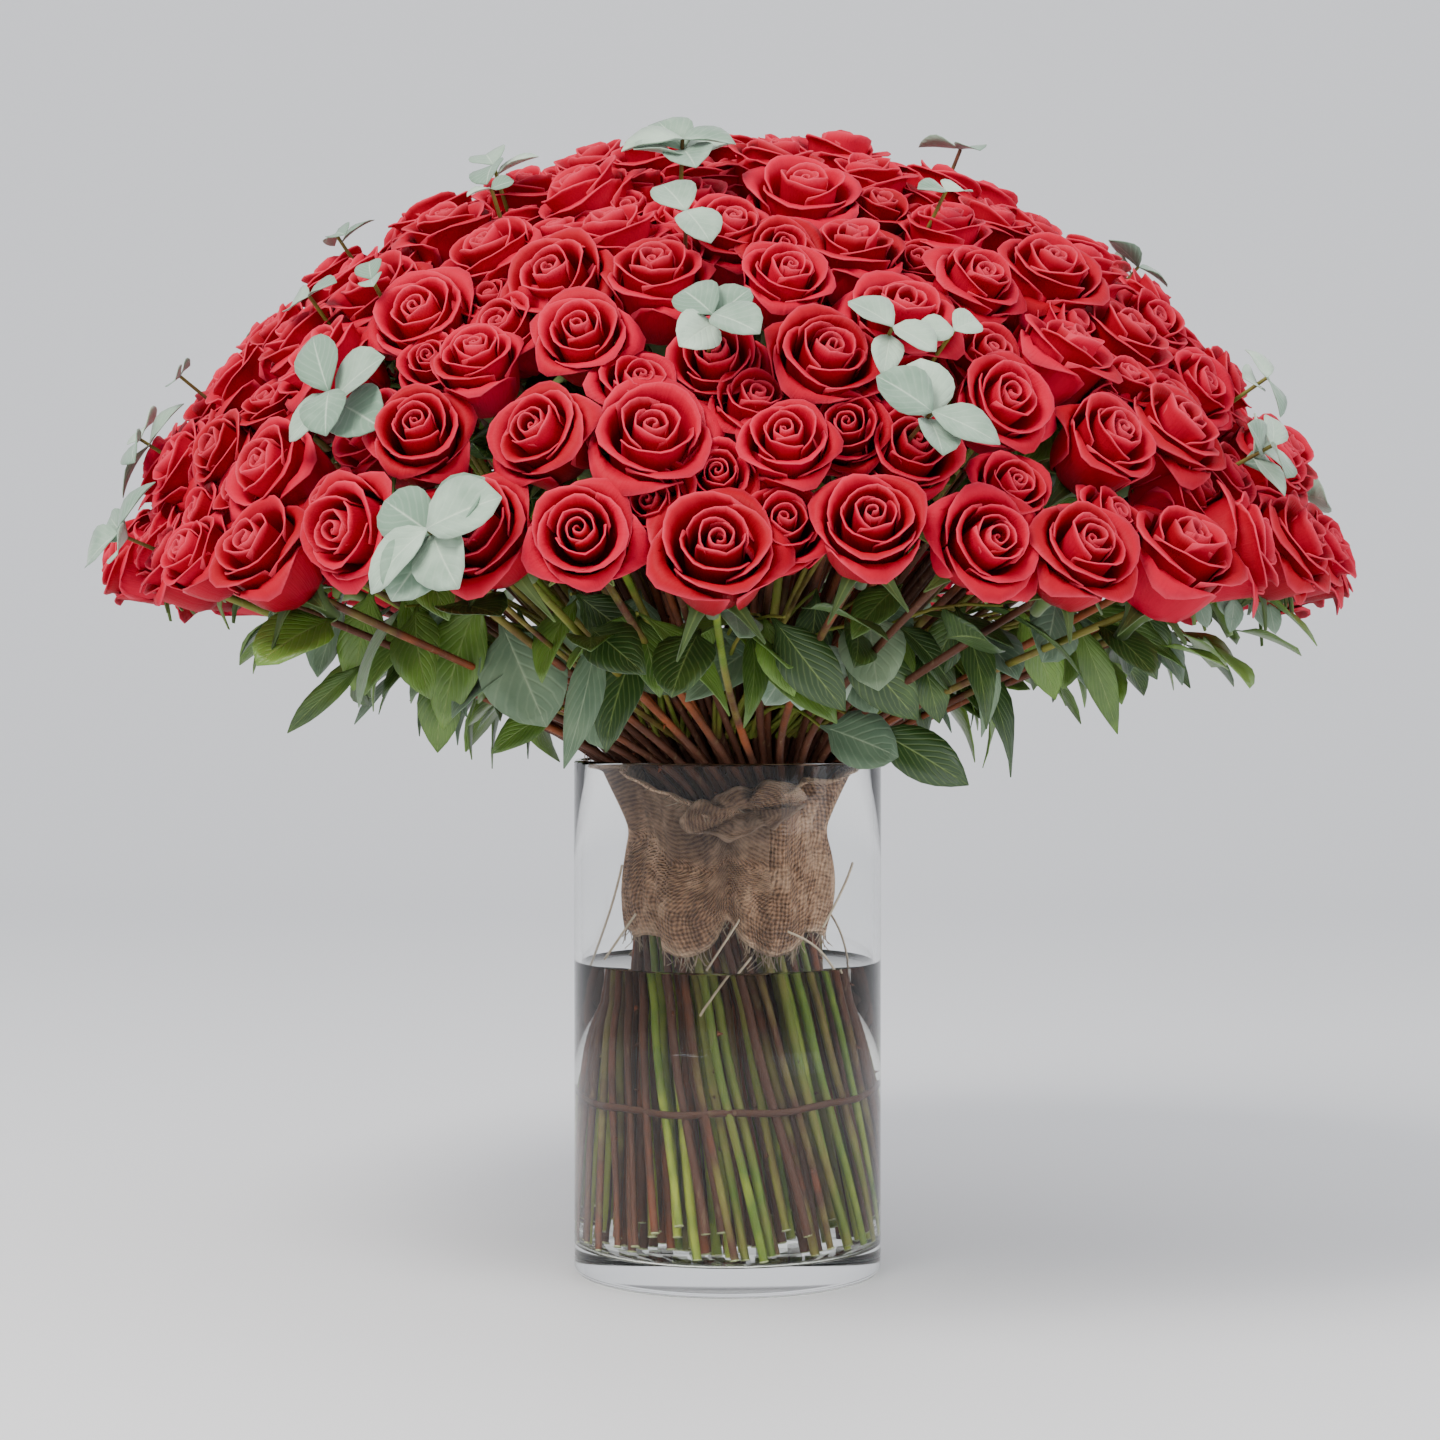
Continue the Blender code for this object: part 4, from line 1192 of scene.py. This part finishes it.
# the water reaches a hair into the glass, so no air gap shows between them
wet = inner + 0.0002
waterProfile = [(0, base - 0.0016), (0.020, base - 0.0014), (0.045, base - 0.0008)]
waterProfile += corner(wet - 0.006, base + 0.0058, 0.0062, -quarter, 0, 7)
waterProfile += [(wet, 0.05), (wet, 0.10), (wet, waterTop + 0.0022)]
# its edge creeps up the glass
waterProfile += [(wet - 0.0006, waterTop + 0.0016), (wet - 0.0018, waterTop + 0.0006),
                 (wet - 0.0035, waterTop), (0.04, waterTop), (0, waterTop)]
waterFinish = clearLook("waterBody", (0.93, 0.935, 0.90), 1.333, 0.40, (0.92, 0.92, 0.90))
waterPiece = lathe("waterFill", waterProfile, vase["sides"], waterFinish)
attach(waterPiece, "root")
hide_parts("water")
print("vase made")


# burlap round the stems
wrap = {"bottom": 0.166, "top": 0.2535, "waist": 0.0462, "columns": 260, "rows": 44,
        "overlap": 0.35, "thickness": 0.0011, "start": 0.03, "curlFrom": 0.87,
        "flareFrom": 0.50}
knotShape = {"rows": 18, "columns": 84, "below": 0.0235, "sideways": 0.008, "out": 0.0105}


# turn is measured from the front, share runs from the lower edge to the upper one
def wrapPoint(turn, share, loose):
    away = math.atan2(math.sin(turn), math.cos(turn))
    nearFront = math.exp(-(away / 0.55) ** 2)
    # two lobes hang low, on both sides of a crease
    lobes = math.exp(-((abs(away) - 0.42) / 0.30) ** 2)
    notch = math.exp(-(away / 0.10) ** 2)
    low = wrap["bottom"] - 0.007 * lobes + 0.009 * notch + 0.0015 * math.sin(7 * turn + 1)
    high = (wrap["top"] - 0.024 * nearFront + 0.0025 * math.sin(5 * turn + 0.6)
            + 0.0015 * math.sin(13 * turn))
    height = low + (high - low) * min(share, wrap["curlFrom"])
    # the upper edge curls outward
    curled = max(0.0, share - wrap["curlFrom"]) / 0.13
    curl = curled * (1.5 + 0.7 * math.sin(3 * turn + 2.0))
    height += 0.0048 * math.sin(curl)
    flare = max(0.0, (share - wrap["flareFrom"]) / 0.50) ** 1.3
    sideways = abs(math.sin(away)) ** 1.5
    reach = (wrap["waist"] + 0.0040 * math.sin(math.pi * min(1, share / 0.55))
             + 0.0062 * lobes * (1 - share) ** 0.8)
    reach += flare * (0.0065 + 0.0150 * sideways)
    # gathers, deeper towards the edges
    gather = 0.0008 + 0.0036 * flare + 0.0014 * (1 - share)
    reach += gather * (math.sin(11 * turn + 2.2 * share + 0.7)
                       + 0.6 * math.sin(19 * turn - 3.0 * share)
                       + 0.45 * math.sin(31 * turn + 5 * share + 1.9))
    crease = math.exp(-((away + 0.06 * (share - 0.5)) / 0.085) ** 2)
    reach -= 0.0060 * crease * (0.6 + 0.4 * share)
    reach += loose + 0.0048 * (1 - math.cos(curl))
    # inside the glass below its rim, and not far past it above
    reach = min(reach, inner - 0.0012) if height < top + 0.001 else min(reach, outer + 0.004)
    return (reach * math.sin(turn), -reach * math.cos(turn), height)


# cloth from a grid, with the thread counts measured along it and a worn hem
def clothFrom(name, grid, hem):
    across = np.cumsum(np.linalg.norm(np.diff(grid, axis=1, prepend=grid[:, :1]), axis=2), 1)
    rise = np.cumsum(np.linalg.norm(np.diff(grid, axis=0, prepend=grid[:1]), axis=2), 0)
    values = {"warp": across, "weft": rise, "hem": hem}
    mesh = closedMesh(name, *shellFromGrid(grid, wrap["thickness"], values))
    return addPiece(name, mesh, burlapFinish)


def makeWrap():
    span = wholeTurn + wrap["overlap"]
    grid = np.zeros((wrap["rows"], wrap["columns"], 3))
    for c in range(wrap["columns"]):
        along = span * (c / (wrap["columns"] - 1))
        # the end lies over the beginning
        over = max(0.0, (along - wholeTurn + 0.25) / (wrap["overlap"] + 0.25))
        for r in range(wrap["rows"]):
            grid[r, c] = wrapPoint(wrap["start"] + along, r / (wrap["rows"] - 1), 0.0030 * over)
    share = np.linspace(0, 1, wrap["rows"])[:, None] * np.ones((1, wrap["columns"]))
    hem = np.clip((share - 0.88) / 0.10, 0, 1) + np.clip((0.06 - share) / 0.05, 0, 1)
    return clothFrom("burlap", grid, hem), grid


# the corner of the cloth, gathered into a loose rosette over the join
def makeKnot():
    rows, columns = knotShape["rows"], knotShape["columns"]
    middle = top - knotShape["below"]
    grid = np.zeros((rows, columns, 3))
    for c in range(columns):
        turn = 1.9 * math.pi * (c / (columns - 1)) + 0.4
        for r in range(rows):
            out = r / (rows - 1)
            spread = 0.0020 + 0.0195 * out * (1 + 0.32 * math.sin(2 * turn + 0.5))
            fold = (0.0034 * out * math.sin(6 * turn + 2.5 * out)
                    + 0.0018 * out * math.sin(11 * turn + 1))
            x = (knotShape["sideways"] + spread * math.cos(turn) * 1.1
                 + 0.0020 * math.sin(5 * turn) * out)
            z = middle + 0.60 * spread * math.sin(turn) + 0.5 * fold
            reach = (wrap["waist"] + knotShape["out"] + 0.0085 * math.sin(math.pi * out)
                     + 0.0010 * out ** 2 + fold)
            depth = math.sqrt(max(min(reach, inner - 0.001) ** 2 - x * x, 0.0004))
            grid[r, c] = (x, -depth, z)
    share = np.linspace(0, 1, rows)[:, None] * np.ones((1, columns))
    return clothFrom("burlapKnot", grid, np.clip((share - 0.80) / 0.15, 0, 1))


burlapFinish = burlapLook()
cloth, clothGrid = makeWrap()
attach(cloth, "root")
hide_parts("burlap_wrap")
knot = makeKnot()
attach(knot, "root")

# frayed ends along both edges, and a few long loose straws
fray = {"count": 420, "length": 0.0065, "thick": 0.00022, "root": 0.002, "reach": 0.0702,
        "tone": 0.45}
straw = {"thick": 0.0006, "tone": 0.95, "bow": np.array([0.002, 0, 0.003])}
straws = [((-0.043, -0.047, 0.178), (-0.058, -0.030, 0.155)),
          ((0.0095, -0.052, 0.182), (-0.0100, -0.056, 0.152)),
          ((0.011, -0.053, 0.158), (-0.0125, -0.060, 0.128)),
          ((0.060, -0.015, 0.200), (0.044, -0.052, 0.172)),
          ((-0.050, -0.030, 0.200), (-0.066, -0.012, 0.150)),
          ((0.028, -0.051, 0.170), (0.052, -0.042, 0.147)),
          ((-0.024, 0.054, 0.178), (-0.050, 0.045, 0.150)),
          ((0.050, 0.030, 0.175), (0.062, 0.022, 0.140))]


# a thread leaves an edge of the cloth and bends off sideways, inside the glass
def frayPath(dice):
    c = dice.randrange(1, wrap["columns"] - 1)
    r, inward = (0, 1) if dice.random() < 0.6 else (wrap["rows"] - 1, -1)
    start = clothGrid[r, c]
    along = unit(start - clothGrid[r + inward, c])
    length = fray["length"] * dice.uniform(0.3, 1.3) + fray["root"]
    side = np.array([dice.gauss(0, 0.35), dice.gauss(0, 0.35), 0])
    path = []
    for t in np.linspace(0, 1, 5):
        point = start - along * fray["root"] + (along + side * t) * length * t
        held = min(1, fray["reach"] / max(1e-6, math.hypot(point[0], point[1])))
        path.append(point * np.array([held, held, 1]))
    return np.array(path)


dice = random.Random(909)
threads = [frayPath(dice) for _ in range(fray["count"])]
strawPaths = [bowedPath(np.array(start), np.array(end), straw["bow"]) for start, end in straws]
strawFinish = strawLook()
frayPiece = growTubes("burlapFray", threads, [np.full(5, fray["thick"])] * len(threads),
                      [fray["tone"]] * len(threads), 4, strawFinish)
strawPiece = growTubes("looseStraws", strawPaths, [np.full(9, straw["thick"])] * len(straws),
                       [straw["tone"]] * len(straws), 5, strawFinish)
for piece in (frayPiece, strawPiece):
    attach(piece, "root")


# band low on the stems, a flat twist of twine
band = {"height": 0.0862, "wide": 0.0035, "thick": 0.0010, "columns": 160, "sides": 8,
        "inside": 0.0012}
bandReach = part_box("binding_band")[1][0] - band["inside"]


def makeBand():
    count, sides = band["columns"], band["sides"]
    points = []
    for c in range(count):
        turn = wholeTurn * c / count
        reach = bandReach + 0.0006 * math.sin(9 * turn) + 0.0004 * math.sin(23 * turn + 1)
        height = (band["height"] + 0.0022 * math.sin(turn + 0.8)
                  + 0.0006 * math.sin(7 * turn))
        for x, y in ringOf(sides):
            r = reach + band["thick"] * x
            points.append((r * math.cos(turn), r * math.sin(turn),
                           height + band["wide"] / 2 * y))
    # the last ring joins the first
    faces = [tuple(i % (count * sides) for i in face) for face in facesBetween(count + 1, sides)]
    return addPiece("binding", closedMesh("binding", points, faces), stemFinish)


bandPiece = makeBand()
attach(bandPiece, "root")
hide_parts("binding_band")
print("wrap and band made")


# camera, floor and light
studio = {"camera": (-0.0037, -1.514, 0.2955), "lens": 77.5, "tilt": -1.0,
          "floor": (0.86, 0.86, 0.87, 1), "sky": (0.93, 0.95, 1.0, 1), "skyPower": 1.0,
          "near": -3.0, "bend": 2.2, "radius": 1.6, "wide": 6.0, "high": 5.0}


# floor that bends up into a wall behind the vase
def makeSweep():
    line = [(studio["near"], 0.0)]
    line += [(studio["bend"] + studio["radius"] * math.sin(a),
              studio["radius"] * (1 - math.cos(a))) for a in np.linspace(0, quarter, 24)]
    line.append((studio["bend"] + studio["radius"], studio["high"]))
    points = [(x, y, z) for y, z in line for x in (-studio["wide"], studio["wide"])]
    faces = [(2 * i, 2 * i + 1, 2 * i + 3, 2 * i + 2) for i in range(len(line) - 1)]
    look, kit = newLook("paleFloor", {"Base Color": studio["floor"]})
    kit.dress("Roughness", kit.noise(kit.place(), 3.0) * 0.12 + 0.52)
    addPiece("floor", meshFrom("floor", points, faces), look)


def softLamp(name, place, target, size, power, colour):
    light = bpy.data.lights.new(name, "AREA")
    light.size = size
    light.energy = power
    light.color = colour
    lamp = bpy.data.objects.new(name, light)
    bpy.context.scene.collection.objects.link(lamp)
    lamp.location = place
    lamp.rotation_euler = (Vector(target) - Vector(place)).to_track_quat("-Z", "Y").to_euler()


makeSweep()
softLamp("keyLight", (-0.9, -1.3, 1.9), (0, 0, 0.35), 0.9, 60, (1.0, 0.97, 0.93))
softLamp("fillLight", (1.6, -1.0, 0.9), (0, 0, 0.30), 1.4, 16, (0.95, 0.97, 1.0))
world = bpy.data.worlds.new("studio")
bpy.context.scene.world = world
world.use_nodes = True
world.node_tree.nodes["Background"].inputs["Color"].default_value = studio["sky"]
world.node_tree.nodes["Background"].inputs["Strength"].default_value = studio["skyPower"]

lens = bpy.data.cameras.new("camera")
lens.lens = studio["lens"]
lens.sensor_width = 36
camera = bpy.data.objects.new("camera", lens)
bpy.context.scene.collection.objects.link(camera)
camera.location = studio["camera"]
camera.rotation_euler = (math.radians(90 + studio["tilt"]), 0, 0)
bpy.context.scene.camera = camera
print("studio ready")
